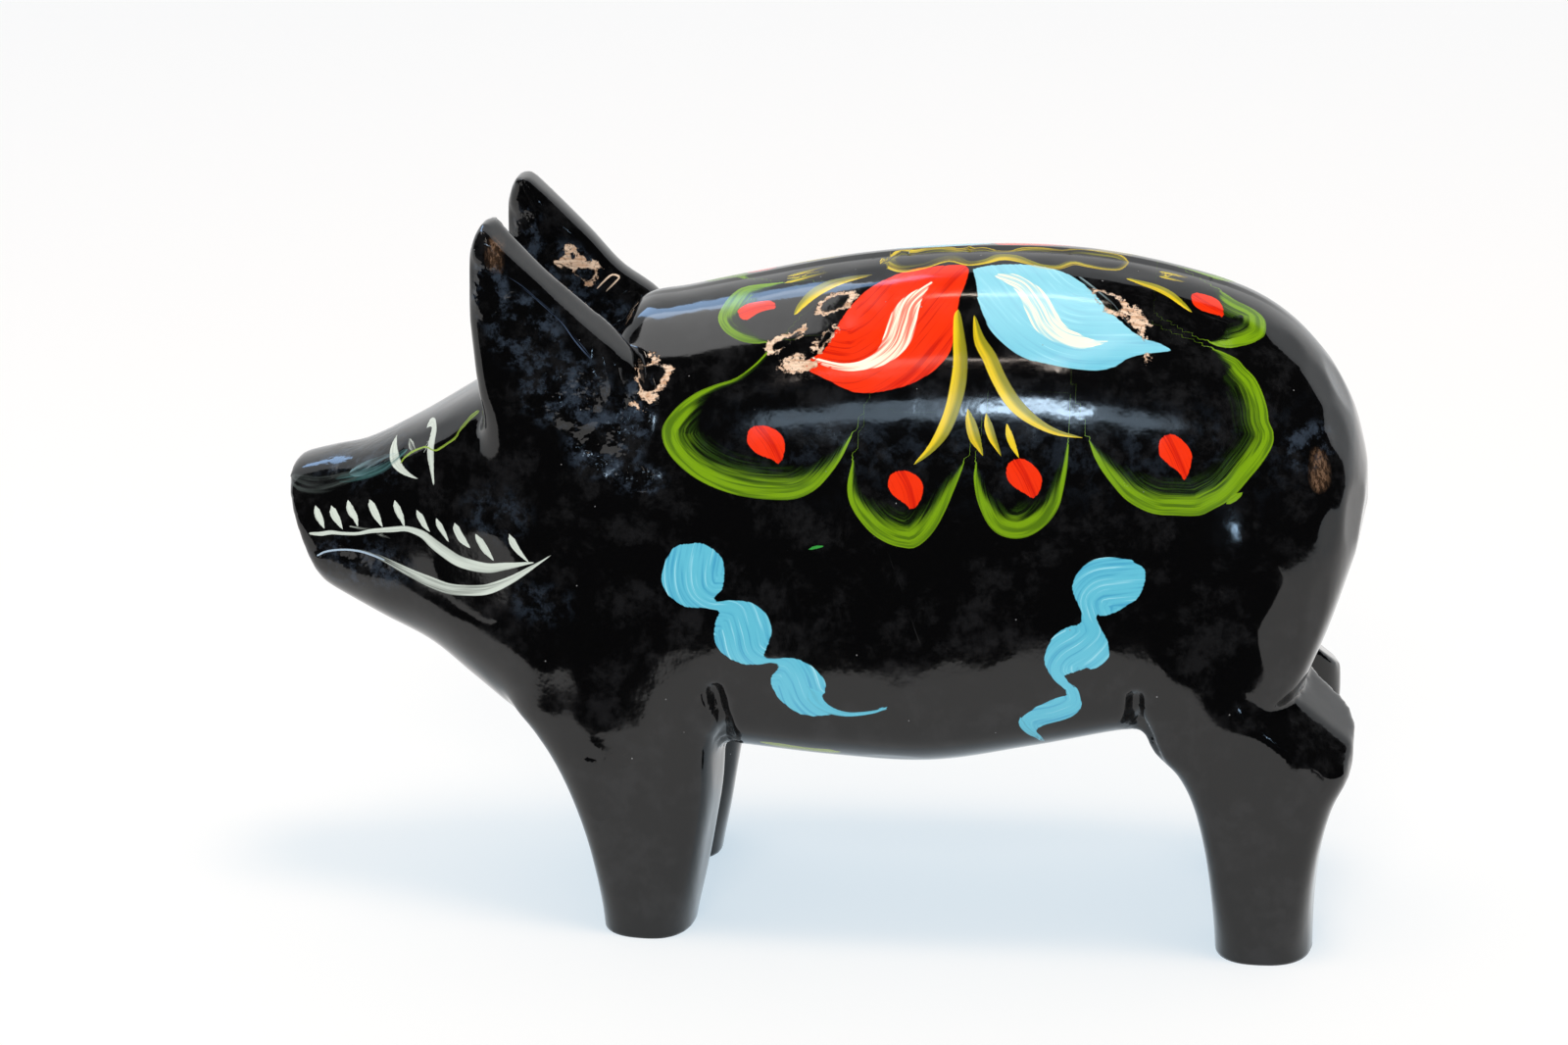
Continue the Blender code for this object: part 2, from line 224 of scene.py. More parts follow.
# Painting. Strokes on the trunk are given by x and by the distance round the trunk from the
# spine, which grows down the near side, and strokes on the head by x and z.
TRUNK_SECTION = BODY[13]
TRUNK_AXIS_Z = 50.0
# The far side has the same pattern, turned half round about PATTERN_X and set nearer the spine.
PATTERN_X = 20.0
FAR_RISE = 4.0
# Strokes on the cheeks keep off the middle, and those on the far ear's inner side lie between
# two y and above a level.
OFF_MIDDLE = 1
FAR_EAR_INSIDE = (8, 15, 60)
# How finely strokes are drawn, how far around them vertices are looked at, and what counts as
# off them. A thin stroke has at least MIN_HALF_WIDTH to measure by, runs out over LEAD at each
# end, and fades at its sides from FADE_FROM over FADE_OVER.
CURVE_STEPS = 6
MARGIN = 3.0
FAR = 30.0
MIN_WIDTH = 0.05
MIN_HALF_WIDTH = 0.3
LEAD = 2.0
LEAD_DROP = 1.5
FADE_FROM = 0.6
FADE_OVER = 0.3

# Outer edges of the petals: x, distance round the trunk and how wide the stroke is there, in
# flat rows.
PETALS = {
    "odd_petals": [
        [-5.9, 17.4, 0.39, -7.6, 19.4, 0.45, -9.8, 21.1, 0.51, -12.5, 21.9, 0.71, -14.9, 22.9, 1.47,
         -17.2, 24.8, 2.86, -18.7, 27.1, 3.59, -18.8, 28.9, 3.81, -18.1, 30.7, 3.81, -16.6, 32.6, 3.69,
         -14.5, 34.3, 3.57, -12, 35.6, 3.56, -9.1, 36.5, 3.54, -6.3, 36.9, 3.44, -3.8, 37, 3.31, -2,
         36.9, 3.13, -0.4, 36.4, 2.79, 1.2, 35.4, 2.37, 2.8, 33.6, 1.67, 4.2, 31.5, 1.06, 5.4, 28.7,
         0.28],
        [20.8, 31.9, 0.22, 20.6, 33.4, 0.71, 20.9, 35.5, 1.14, 21.5, 37.3, 1.77, 22.5, 39.2, 2.45, 23.8,
         40.4, 3.04, 25.4, 40.9, 3.31, 27, 40.8, 3.24, 28.6, 40.1, 2.97, 30.2, 38.7, 2.56, 31.4, 36.8,
         1.89, 31.9, 34.6, 1.22, 32.3, 31.9, 0.76, 32.4, 29.3, 0.27],
        [49.2, 14.3, 0.3, 50.3, 14.7, 1.32, 51.9, 14.6, 1.92, 54, 13.2, 2.6, 55.5, 11.4, 2.54, 56.1, 10,
         2.54, 56.1, 7.5, 3.9, 55.5, 6.1, 3.9, 54.1, 5.3, 3.9, 52.4, 4.9, 3.9, 50.8, 3.7, 1.07],
    ],
    "even_petals": [
        [5.4, 32, 0.28, 4.9, 34.2, 0.89, 4.9, 35.9, 1.25, 5.4, 37.5, 1.81, 6.6, 39.3, 2.45, 8.3, 41,
         3.01, 10.3, 42.1, 3.39, 12, 42.5, 3.56, 13.5, 42.5, 3.53, 15, 41.4, 3.25, 16.3, 39.7, 2.53,
         17.4, 37.5, 1.79, 18.4, 35, 1.24, 19.4, 32.2, 0.39],
        [34.8, 28.8, 0.22, 35.4, 30.5, 0.97, 36.5, 32.3, 1.57, 38, 34.1, 2.16, 39.6, 35.7, 2.71, 41.8,
         36.9, 3.05, 43.7, 37.4, 3.23, 45.9, 37.4, 3.31, 47.5, 37.4, 3.34, 49, 37.2, 3.45, 50.4, 36.4,
         3.44, 52, 35.4, 3.3, 53.6, 33.7, 3.21, 54.9, 31.8, 3.15, 55.9, 30.3, 3.06, 56.8, 28.6, 2.97,
         57.5, 26.8, 2.89, 57.5, 25.1, 3.13, 56.9, 23.7, 3.1, 56.7, 22.2, 3, 56, 19.8, 2.95, 55, 17.9,
         2.95, 53.6, 16.8, 2.57, 52.8, 16, 2.01, 51.4, 15.5, 1.25, 50, 15.1, 0.44],
        [-5.4, 4.8, 0.57, -7.8, 4.3, 2.18, -9.8, 4.2, 3.9, -11.1, 5.3, 3.9, -12.2, 8, 3.9, -12.8, 10.7,
         2.62, -12.5, 12.5, 1.83, -11.4, 14.3, 1.71, -9.5, 15.8, 1.44, -7.5, 16.4, 0.94, -6.1, 16.3,
         0.34],
    ],
}
# Filled shapes: where, the outline, and the flow of the brush where it shows, in flat rows.
SHAPES = {
    "red": [
        ("flanks",
         [18.3, 5.2, 18.7, 6.4, 18.4, 8.8, 17.9, 11, 17.7, 13.2, 17.6, 15.9, 16.9, 18.7, 15.1, 20.7,
          12.7, 22.2, 9.9, 23, 7.2, 23.4, 4.9, 23.1, 2.9, 22.2, 0.9, 21.2, -0.7, 20.3, -1.3, 19.4, 0.2,
          18.5, 1.3, 17.6, 2.1, 16.1, 3, 13.7, 4, 11.9, 5.2, 9.9, 7, 8.1, 9.4, 6.3, 12.1, 5.3, 14.9, 5,
          16.9, 4.9],
         [18.3, 5.4, 14.8, 10.9, 12, 15.2, 9.1, 18.4, 4.8, 20.6, -0.8, 19.6]),
        ("flanks",
         [-7.6, 28, -6.6, 27.5, -5.2, 27.7, -3.8, 28.5, -3.1, 29.8, -3.2, 31.3, -3.6, 32.5, -4.8, 31.8,
          -6.5, 31.2, -7.7, 30.1, -7.9, 29],
         [-6.6, 27.7, -4.8, 30, -3.6, 32.5]),
        ("flanks",
         [10.3, 33.5, 11.4, 32.9, 12.5, 33, 13.8, 33.7, 14.4, 34.9, 14.2, 36.3, 13.2, 37.8, 12.1, 36.9,
          10.7, 36, 10, 34.8],
         [11.4, 33, 12.6, 35.1, 13.2, 37.8]),
        ("flanks",
         [24.9, 31.8, 25.8, 31.1, 27, 31.2, 28.3, 32.1, 29.1, 33.4, 29, 34.7, 28.2, 35.9, 26.9, 35.2,
          25.4, 34.3, 24.7, 33.1],
         [25.7, 31.2, 27.1, 33.4, 28.2, 35.9]),
        ("flanks",
         [43.6, 28, 44.3, 27.3, 45.4, 27.3, 46.7, 28.2, 47.5, 29.5, 47.4, 31.1, 46.8, 32.9, 46, 31.9,
          44.5, 30.8, 43.5, 29.8],
         [44.2, 27.4, 45.6, 29.9, 46.8, 32.8]),
        ("flanks",
         [-10.2, 10, -9, 9.1, -6.7, 9, -5.7, 9.6, -5.3, 10.7, -6.4, 10.9, -7.7, 11.3, -9, 12.3, -9.9,
          11.7, -10.3, 10.6],
         [-10.2, 11.3, -7.7, 10.3, -5.5, 10.4]),
        ("flanks",
         [46.8, 6.1, 48.1, 5.8, 49.7, 6.1, 50.6, 7.5, 50.8, 9.6, 49.8, 9.4, 48.2, 9.3, 47.2, 8.8, 46.7,
          7.5],
         [46.9, 6.7, 48.7, 7.9, 50.7, 8.8]),
    ],
    "blue": [
        ("flanks",
         [19.2, 5.7, 20, 5.6, 21.3, 5.2, 23.5, 4.9, 26.3, 4.9, 28.8, 5.5, 31.1, 6.4, 33.1, 8, 34.8, 9.7,
          36.5, 11.8, 38.3, 13.4, 39.9, 14.7, 41.6, 15.4, 42.8, 15.5, 44.6, 16.4, 43.3, 16.8, 41.4,
          17.3, 39.5, 18, 37.7, 19.3, 35.6, 20, 33.1, 20, 30.7, 19.8, 28.5, 19.4, 26, 18.8, 23.8, 17.3,
          22, 15.4, 20.9, 13.3, 20.2, 11.1, 19.8, 8.7],
         [19.3, 6, 22.9, 11.4, 26.6, 15.3, 31.4, 17.6, 36.8, 17.6, 43.8, 16.6]),
        ("flanks",
         [-16.5, 43.3, -14.9, 43, -13.4, 42.8, -12.1, 43.4, -11, 44.2, -10.4, 45.5, -10.4, 47.5, -10.6,
          48.6, -11.3, 49.5, -11.8, 50.2, -11.6, 50.4, -10.7, 50.3, -9.4, 50.1, -7.7, 50.1, -6.4, 50.5,
          -5.4, 51.2, -4.7, 52.2, -4.3, 53.5, -4.5, 54.9, -4.9, 56, -5.3, 56.9, -5, 57.4, -3.8, 57.4,
          -1.9, 57.2, -0.4, 57.5, 1.1, 58.4, 2.2, 59.5, 2.6, 60.6, 2.4, 61.7, 1.8, 62.4, 2.3, 63.1, 3.5,
          63.7, 5.2, 64, 6.9, 63.9, 8.6, 63.5, 9.8, 63, 10.6, 62.8, 9.9, 63.5, 8.2, 64, 6.4, 64.3, 4.7,
          64.4, 3, 64.4, 1.3, 64.7, -0.4, 64.6, -1.9, 63.9, -3.2, 62.9, -4, 61.6, -4.4, 60.2, -3.9,
          59.2, -3.2, 58.5, -3.5, 58.2, -4.5, 58.1, -6.2, 58.4, -7.9, 58.4, -9.4, 57.9, -10.7, 57.1,
          -11.5, 55.8, -11.6, 54.5, -11.4, 52.9, -10.9, 51.8, -11.2, 51.5, -12.7, 51.3, -14.2, 51.4,
          -15.7, 51.2, -17, 50.4, -18, 49.1, -18.4, 47.8, -18.1, 46.2, -17.5, 44.5],
         [-14, 42.8, -14.6, 46.6, -14.1, 49.3, -12.2, 50.7, -10.5, 50.7, -8.5, 51.3, -7.5, 54, -6.8,
          56.6, -4.9, 57.8, -2.5, 57.8, -1, 59.5, 0.2, 62.4, 2.6, 63.9, 6.7, 64.1, 10.6, 62.9]),
        ("flanks",
         [42.2, 44.5, 41.8, 43.9, 41, 43.5, 40.2, 43, 38.1, 42.9, 36.4, 43.1, 34.9, 43.8, 33.8, 44.9,
          33.3, 46.3, 33.4, 47.5, 34, 48.9, 34.5, 50, 34.4, 50.9, 34.6, 51.6, 33.6, 51.6, 32.4, 52,
          31.4, 52.7, 30.7, 53.8, 30.1, 55.1, 30, 56.3, 30.3, 57.4, 31.1, 58.7, 32.2, 59.7, 33.1, 60.5,
          32.9, 60.8, 31.5, 61.3, 29.8, 62.1, 28.3, 63.1, 27.3, 64, 26.8, 64.9, 27.4, 65.9, 28.3, 66.7,
          28.9, 68.2, 29.8, 70, 29.4, 67.5, 29.1, 66.3, 29.8, 65.6, 31.2, 65.1, 32.9, 64.5, 34.1, 63.6,
          34.7, 62.6, 34.5, 61.1, 34.1, 59.9, 33.2, 59.2, 32.6, 58.5, 32.7, 58, 33.9, 57.7, 35, 57.2,
          35.9, 57.3, 36.9, 56.9, 37.8, 56, 38, 55.1, 37.8, 53.8, 37.3, 52.6, 36.6, 51.5, 36.2, 50.5,
          36, 49.9, 37.1, 50.3, 38.5, 49.9, 39.7, 49.2, 41, 48.3, 41.8, 47.2, 42.2, 45.8],
         [42.2, 45.8, 39.1, 46.1, 36.4, 46.6, 35, 48.2, 35.4, 50.3, 36.2, 52.4, 34.8, 54.3, 32.5, 55.9,
          31.8, 57.7, 33.4, 59.9, 33.7, 62.1, 31.4, 63.4, 27.9, 64.7, 29.7, 69.8]),
    ],
    "cream": [
        ("flanks",
         [14.4, 8, 13, 9.1, 11.1, 10.4, 9.9, 12, 9, 14.2, 8.7, 16, 8, 17.8, 6.4, 19.1, 4.2, 19.6, 1.9,
          19.2, -0.5, 18.5, 0.3, 19.3, 2.8, 20.3, 5.4, 20.5, 8.1, 20.1, 10.3, 19, 11.9, 17.3, 12.7,
          14.9, 12.8, 12.5, 13.4, 10.1],
         [14.5, 8.1, 11.7, 11.1, 10.8, 14.3, 9.9, 17.2, 7.5, 19.3, 4.2, 20, -0.3, 18.9]),
        ("flanks",
         [22, 7.2, 24.2, 6.9, 25.9, 7.8, 27.7, 9.2, 29.1, 10.9, 30.1, 12.7, 31.2, 14.5, 32.9, 15.5,
          35.1, 16.2, 37.1, 15.9, 35.4, 16.8, 33, 17.6, 31.4, 17.2, 29.4, 16.5, 27.7, 15.3, 26.5, 13.5,
          25.8, 11.7, 25, 10, 23.8, 8.7],
         [22, 7.3, 25.4, 8.8, 27.6, 11.9, 29.1, 14.6, 31.3, 16.2, 34.1, 16.7, 36.9, 16.3]),
    ],
    "chips": [
        ("near flank",
         [5.3, 9.5, 3.4, 8.9, 1.8, 9.2, 0.6, 9.9, -0.2, 11.4, 0, 12.5, 1.8, 12.5, 3.5, 12, 4.6, 10.7]),
        ("near flank",
         [2.9, 13.9, 1.7, 15, 0.5, 16, -0.3, 16.9, -0.2, 17.8, 1.1, 17.9, 1.9, 16.4, 3.1, 14.5]),
        ("near flank",
         [-1.4, 13.3, -2, 14.5, -3.4, 14.9, -5.3, 15.6, -6.1, 16.5, -6.4, 17.5, -4.6, 18.1, -3.8, 17.1,
          -2.4, 16.2, -1.6, 15.2, -1, 14.1]),
        ("near flank",
         [-1.8, 17.8, -3, 18.4, -4.5, 19.5, -3.8, 20.4, -1.9, 20.9, -0.2, 20.4, 1, 19.7, -0.2, 19, -1.4,
          18.7]),
        ("near flank",
         [34, 8.8, 35.9, 8.9, 37.5, 9.3, 38.9, 10.4, 38.8, 11.8, 37.7, 12.6, 36.3, 12.1, 35.5, 11]),
        ("near flank",
         [39.1, 10.3, 40.2, 10.9, 41.6, 12.9, 41.7, 13.3, 41.1, 14.3, 41.7, 15.4, 40.8, 15.3, 39.7,
          13.9, 39, 12.2]),
        ("near flank",
         [41.2, 17.3, 42, 17.3, 41.9, 18.5, 41.4, 18.5]),
        ("near flank",
         [-22.2, 20, -21.2, 17.9, -21.2, 16.4, -20.7, 16.1, -19.9, 16.9, -19.7, 18, -18.7, 18.4, -17.7,
          19, -18.3, 20.4, -19.1, 22.3, -19.8, 22.5, -20, 23.7, -21.7, 24, -21.9, 22.9, -22.2, 21.6]),
        ("near flank",
         [-22.7, 25.1, -22, 24.7, -21.2, 24.9, -21.6, 25.5]),
        ("far ear",
         [-35.2, 83.7, -34.4, 83.4, -33.6, 82.4, -32.3, 81.6, -31.2, 81, -30.2, 80.2, -31.1, 80, -31.4,
          79.1, -31.9, 78.1, -32.6, 78.1, -34.2, 79.4, -35.4, 80.1, -36.9, 80.9, -35.8, 82.2]),
    ],
    "chip_holes": [
        ("near flank",
         [-21.8, 19.5, -20.8, 18.4, -19.9, 18.3, -19.2, 19, -19.3, 19.9, -19.8, 21.3, -20.4, 22, -21.1,
          22.6, -21.6, 22.1, -21.7, 21]),
        ("far ear",
         [-34.4, 80, -33.3, 80.2, -32.2, 80.1, -31.9, 79.6, -32.5, 78.7, -33.5, 79.2]),
        ("far ear",
         [-34.8, 82.5, -34.4, 82.1, -34.6, 81.7, -34.9, 82]),
        ("near flank",
         [3.6, 9.8, 2, 9.8, 0.9, 10.7, 0.7, 11.6, 1.8, 11.8, 3.1, 11.3]),
        ("near flank",
         [2.1, 15.1, 1.2, 15.9, 0.5, 16.8, 0.8, 17.3, 1.6, 16]),
        ("near flank",
         [-2, 15.2, -3.2, 15.8, -4.7, 16.5, -5.1, 17.3, -4, 17, -2.8, 16.1]),
        ("near flank",
         [34.8, 9.3, 36.2, 9.5, 37.4, 10.1, 38, 11, 37.6, 11.8, 36.5, 11.3, 35.5, 10.6]),
    ],
    "worn": [
        ("near cheek",
         [-40.6, 89.8, -40, 90.2, -39.1, 89.4, -38.9, 87.8, -39, 86.3, -40.1, 86.4, -40.7, 87.4]),
        ("near flank",
         [62.4, 26.4, 63.6, 25.4, 64.4, 27.9, 64.3, 30.9, 63.2, 32.4, 62.3, 30.8]),
    ],
}
# Thin strokes: colour, where, the load of the brush at both ends, and a flat row of x,
# distance or height, and half width for each stroke. The strokes of a layer lie apart.
LINES = {
    "lines_1": [
        ("yellow", "flanks", (1, 0.9), [
            [17.8, 12.8, 0.14, 17.8, 13.7, 0.5, 18.2, 16.8, 0.8, 18.5, 19.6, 0.94, 18.3, 22.6, 1, 17.7,
             25.4, 0.94, 16.7, 28, 0.83, 15.2, 30.2, 0.49, 13.1, 32.2, 0.08],
        ]),
        ("yellow", "flanks", (1, 1), [
            [22, 25.9, 0.14, 22.3, 27.2, 0.54, 22.9, 28.8, 0.51, 23.6, 30.1, 0.24, 24, 30.9, 0.05],
        ]),
        ("yellow", "flanks", (1, 0.6), [
            [-2.8, 12, 0.25, -2.1, 10.6, 0.61, -0.6, 8.5, 0.97, 1.3, 7.1, 0.99, 3.2, 6.4, 0.68, 4.9, 6,
             0.41, 6.3, 5.8, 0.15],
        ]),
        ("yellow", "near flank", (0.6, 0.6), [
            [7.9, 2.3, 1.1, 8.9, 4, 1, 10.5, 5, 0.95, 12.9, 4.7, 0.82, 14.8, 3.5, 0.96, 16.4, 3.1, 1,
             18.5, 4.6, 0.59, 20.7, 4.1, 0.69, 22.3, 2.9, 1.01, 23.9, 3, 0.98, 26, 4.2, 0.59, 27.7, 5.1,
             0.48, 29.9, 5.1, 0.48, 31.7, 3.6, 0.67, 33.4, 4, 0.5, 35.6, 4.2, 0.42, 37.5, 3.5, 0.39,
             38.3, 0.8, 0.31, 37, -0.2, 0.47, 34.5, -0.3, 0.63, 32.5, -0.2, 0.56, 30.4, 0.2, 0.34, 29,
             0.2, 0.33, 26.8, 0.1, 0.3, 24.9, 0.3, 0.39, 22.7, 1, 0.47, 20.1, 0.2, 0.35, 18.2, 0.5,
             0.41, 18.5, 0.2, 0.42, 16.8, 0.4, 0.49, 14.8, -0.1, 0.53, 12.8, 0, 0.49, 11.1, 0.3, 0.56,
             9.4, -0.1, 0.56, 7.9, 2.3, 1.1],
        ]),
        ("yellow", "near flank", (0.7, 0.5), [
            [42.9, 3.8, 0.33, 44.4, 3.7, 0.41, 45.8, 3.6, 0.21],
            [43, 2.2, 0.43, 44.3, 1.9, 0.54, 46.1, 1.7, 0.28],
        ]),
    ],
    "lines_2": [
        ("yellow", "flanks", (1, 0.8), [
            [19.9, 13.6, 0.14, 20.7, 16.7, 0.7, 22.1, 19, 0.91, 23.4, 21.6, 0.94, 25, 24, 0.94, 26.8,
             25.7, 0.8, 29.1, 27.1, 0.53, 31.3, 27.9, 0.32, 34.1, 28.3, 0.05],
            [38.7, 5.9, 0.21, 40.4, 6.3, 0.49, 42.3, 6.7, 0.66, 44, 7.5, 0.66, 45.4, 8.7, 0.46, 46.8,
             9.8, 0.1],
        ]),
        ("yellow", "flanks", (1, 1), [
            [19.7, 25.4, 0.14, 20, 26.7, 0.6, 20.6, 28.6, 0.73, 21.3, 30, 0.35, 21.7, 30.8, 0.08],
        ]),
        ("yellow", "near flank", (0.8, 0.5), [
            [-4.3, 5.1, 0.41, -2.1, 4.6, 0.48, 0.6, 4.1, 0.21],
            [-4.1, 3.1, 0.46, -2.3, 2.6, 0.58, -0.1, 1.9, 0.31],
        ]),
    ],
    "lines_3": [
        ("white", "cheeks", (0.42, 0.85), [
            [-64.9, 46.6, 0.08, -64, 47.2, 0.1, -62.7, 47.6, 0.1, -60.8, 47.9, 0.13, -58.9, 47.9, 0.16,
             -57.3, 47.6, 0.28, -55.5, 47, 0.39, -53.4, 46.2, 0.51, -51.2, 45.4, 0.65, -49.1, 44.8,
             0.76, -46.7, 44.3, 0.75, -44.3, 44.4, 0.7, -41.9, 44.8, 0.68, -40, 45.6, 0.61, -38.1, 46.7,
             0.48, -36.2, 48, 0.34, -34.4, 49.3, 0.17, -32.6, 50.6, 0.05],
        ]),
        ("white", "cheeks", (1, 0.8), [
            [-55.2, 60.8, 0.39, -55, 60.1, 0.67, -54.5, 59.3, 0.75, -53.5, 58.6, 0.51, -52.1, 58.1,
             0.22, -50.9, 57.9, 0.05],
        ]),
        ("white", "cheeks", (0.6, 0.5), [
            [-60.3, 50.9, 0.12, -58.2, 50.8, 0.16, -56, 51, 0.08],
            [-57.3, 50.5, 0.08, -55.8, 50.2, 0.17, -54.6, 50, 0.09],
        ]),
        ("sky", "flanks", (0.9, 0.6), [
            [27.3, 64.7, 0.55, 27.6, 65.5, 0.6, 28.4, 66.8, 0.58, 29.2, 67.9, 0.45, 29.8, 69.8, 0.26],
        ]),
        ("speck", "near flank", (1, 1), [
            [0.2, 43.1, 0.11, 1.1, 42.8, 0.21, 2.1, 42.6, 0.1],
        ]),
        ("moss", "near flank", (0.7, 0.7), [
            [-5.7, 70.8, 0.39, -3.4, 71.4, 1.1, -1.2, 71.8, 1.1, 2.9, 71.7, 1.1],
        ]),
        ("lime", "near flank", (1, 0.8), [
            [52.3, 35.3, 0.37, 52.9, 34.8, 0.47, 53.6, 34.2, 0.32],
        ]),
        # Painted reflection: a dark mottle on the snout, which stands for the blurred reflection there
        ("fog", "cheeks", (0.56, 0.56), [
            [-68.8, 55.5, 0.53, -67.4, 55.4, 1, -65.5, 55.4, 1.1, -63.4, 55.8, 1.1, -61.6, 56.4, 0.97,
             -60, 56.9, 0.54],
        ]),
    ],
    "lines_4": [
        ("white", "cheeks", (1, 0.8), [
            [-65.7, 49.5, 0.16, -64.2, 49.6, 0.28, -62.9, 49.9, 0.28, -61.3, 49.9, 0.23, -59.2, 50.1,
             0.22, -57.5, 50.6, 0.27, -55.9, 50.9, 0.3, -54.3, 51.2, 0.35, -52.7, 51.5, 0.35, -51.4,
             51.4, 0.42, -50, 51, 0.56, -48.7, 50.1, 0.73, -47.1, 49.1, 0.79, -45.3, 48.2, 0.8, -43.1,
             47.8, 0.75, -41, 47.8, 0.65, -39.1, 48.3, 0.53, -37.3, 48.8, 0.33, -35.7, 49.2, 0.15,
             -34.8, 49.4, 0.05],
        ]),
        ("white", "cheeks", (1, 0.75), [
            [-50.6, 63.5, 0.26, -50.4, 63.8, 0.23, -49.8, 63.9, 0.31, -49.5, 63.5, 0.4, -49.5, 62.6,
             0.45, -49.5, 61.5, 0.52, -49.3, 60.4, 0.47, -49, 59.1, 0.27, -48.7, 57.5, 0.09],
        ]),
        ("white", "cheeks", (0.6, 0.45), [
            [-52.9, 61.5, 0.25, -52.5, 61.2, 0.5, -51.5, 60.6, 0.11],
        ]),
        ("sky", "flanks", (1, 0.7), [
            [1.1, 62, 1.1, 1.8, 63, 0.77, 3.2, 63.8, 0.49, 5.2, 64.2, 0.31, 7.3, 64, 0.24, 9, 63.6,
             0.17, 10.6, 62.9, 0.06],
        ]),
        # Painted reflection: a paler patch on the snout, which stands for a blurred highlight there
        ("mist", "cheeks", (0.56, 0.5), [
            [-60.6, 57, 0.43, -59.5, 57.5, 0.72, -58.4, 58.1, 0.78, -57.2, 58.7, 0.7, -56.1, 59.3, 0.56,
             -55, 59.8, 0.27],
        ]),
    ],
    "lines_5": [
        ("yellow", "flanks", (1, 1), [
            [24.6, 27.1, 0.14, 24.9, 28.2, 0.43, 25.4, 29.5, 0.41, 26, 30.6, 0.16, 26.2, 31, 0.05],
        ]),
        ("brow", "cheeks", (0.6, 0.7), [
            [-53.7, 59.2, 0.08, -53.3, 59.8, 0.1, -52.3, 60.6, 0.12, -51.2, 61.2, 0.1, -50.2, 61.6,
             0.09, -48.9, 61.5, 0.1, -48, 62, 0.14, -46.9, 62.8, 0.12, -46, 63.5, 0.15, -45.6, 64.3,
             0.13, -45, 65, 0.21, -44.6, 65.5, 0.16, -44, 66.1, 0.22, -43.1, 66.8, 0.14],
        ]),
        ("white", "cheeks", (1, 0.85), [
            [-64.9, 52.5, 0.45, -64.7, 52, 0.5, -64.3, 51.3, 0.45, -63.8, 50.4, 0.08],
            [-60.5, 53.5, 0.46, -60.2, 52.8, 0.54, -59.6, 52.1, 0.43, -59.2, 51.1, 0.08],
            [-53.9, 54.3, 0.47, -53.6, 53.6, 0.5, -53.2, 52.9, 0.42, -52.7, 51.8, 0.08],
            [-48, 52.9, 0.45, -47.7, 52.3, 0.42, -47.2, 51.6, 0.31, -46.6, 50.6, 0.09],
            [-42.5, 51.6, 0.49, -42.1, 51, 0.51, -41.5, 50.1, 0.51, -40.5, 49, 0.11],
        ]),
        ("pale", "near flank", (0.5, 0.35), [
            [32.8, 7, 0.27, 35.1, 9.1, 0.4, 37.1, 11, 0.44, 39.7, 14.3, 0.42, 42.8, 15.4, 0.21],
        ]),
        ("thin", "cheeks", (0.75, 0.7), [
            [-64.9, 46.5, 0.1, -64, 47.1, 0.13, -62.7, 47.5, 0.13, -60.8, 47.8, 0.13, -58.9, 47.8, 0.16,
             -57.3, 47.5, 0.16, -55.5, 47, 0.11],
        ]),
    ],
    "lines_6": [
        # Painted reflection: a teal-grey mottle on the snout, which stands for the blurred reflection
        ("teal", "cheeks", (0.5, 0.6), [
            [-62.4, 56.2, 0.33, -60.9, 56.5, 0.52, -58.7, 57.2, 0.6, -56.5, 58.1, 0.57, -54.9, 59.2,
             0.46, -53.3, 60.5, 0.24],
        ]),
        ("white", "cheeks", (1, 0.85), [
            [-62.7, 52.7, 0.45, -62.4, 52.1, 0.53, -61.9, 51.4, 0.43, -61.3, 50.5, 0.08],
            [-57.4, 54, 0.47, -57, 53.3, 0.52, -56.5, 52.5, 0.47, -55.8, 51.4, 0.08],
            [-50.7, 53.6, 0.45, -50.3, 53, 0.45, -49.9, 52.3, 0.37, -49.2, 51.6, 0.09],
            [-45.5, 52.6, 0.48, -45.2, 51.9, 0.51, -44.6, 51, 0.51, -43.7, 50.2, 0.11],
            [-38, 52.2, 0.46, -37.6, 51.4, 0.49, -36.9, 50.5, 0.36, -35.6, 49.3, 0.05],
        ]),
        ("bare", "far ear", (0.75, 0.6), [
            [-31.5, 77.5, 0.08, -30.5, 78.6, 0.13, -29.6, 79.4, 0.13, -28.9, 79.4, 0.1, -28.5, 79.1,
             0.11, -28.8, 78.7, 0.11, -29.3, 78.2, 0.11, -30.3, 77.2, 0.08],
        ]),
        ("dust", "near flank", (0.4, 0.4), [
            [38.7, 8.8, 0.23, 42.4, 9, 0.23, 46.8, 9.6, 0.2, 52.9, 10.7, 0.25, 58.5, 10.5, 0.34],
            [1.3, 25.2, 0.16, 2.5, 27.8, 0.16, 3.9, 30.2, 0.16],
            [1.7, 25.5, 0.16, 3.2, 28.7, 0.16],
            [10.1, 42.7, 0.16, 12.8, 50.3, 0.16, 15.8, 58.8, 0.16],
        ]),
        # Painted highlight: a broken blue-grey line along the near ear's ridge, which stands for a
        # glint
        ("rubbed", "near cheek", (0.45, 0.5), [
            [-38, 85.7, 0.12, -36.3, 84.6, 0.2, -34.4, 83, 0.15, -32.9, 81.7, 0.24, -31.1, 80, 0.17,
             -29.8, 78.2, 0.22, -28.7, 76.9, 0.31, -27.6, 75.7, 0.14],
        ]),
    ],
}
# The layers whose strokes are olive along one side
TWO_TONED = ("lines_1", "lines_2")

# Camera and light
CAMERA_AZIMUTH = 6.5
CAMERA_ELEVATION = 16.0
CAMERA_DISTANCE = 610.0
CAMERA_TARGET = (-5.44, 0.0, 49.83)
CAMERA_LENS = 107.92
SENSOR_WIDTH = 36.0
CLIP_RANGE = (0.01, 20)
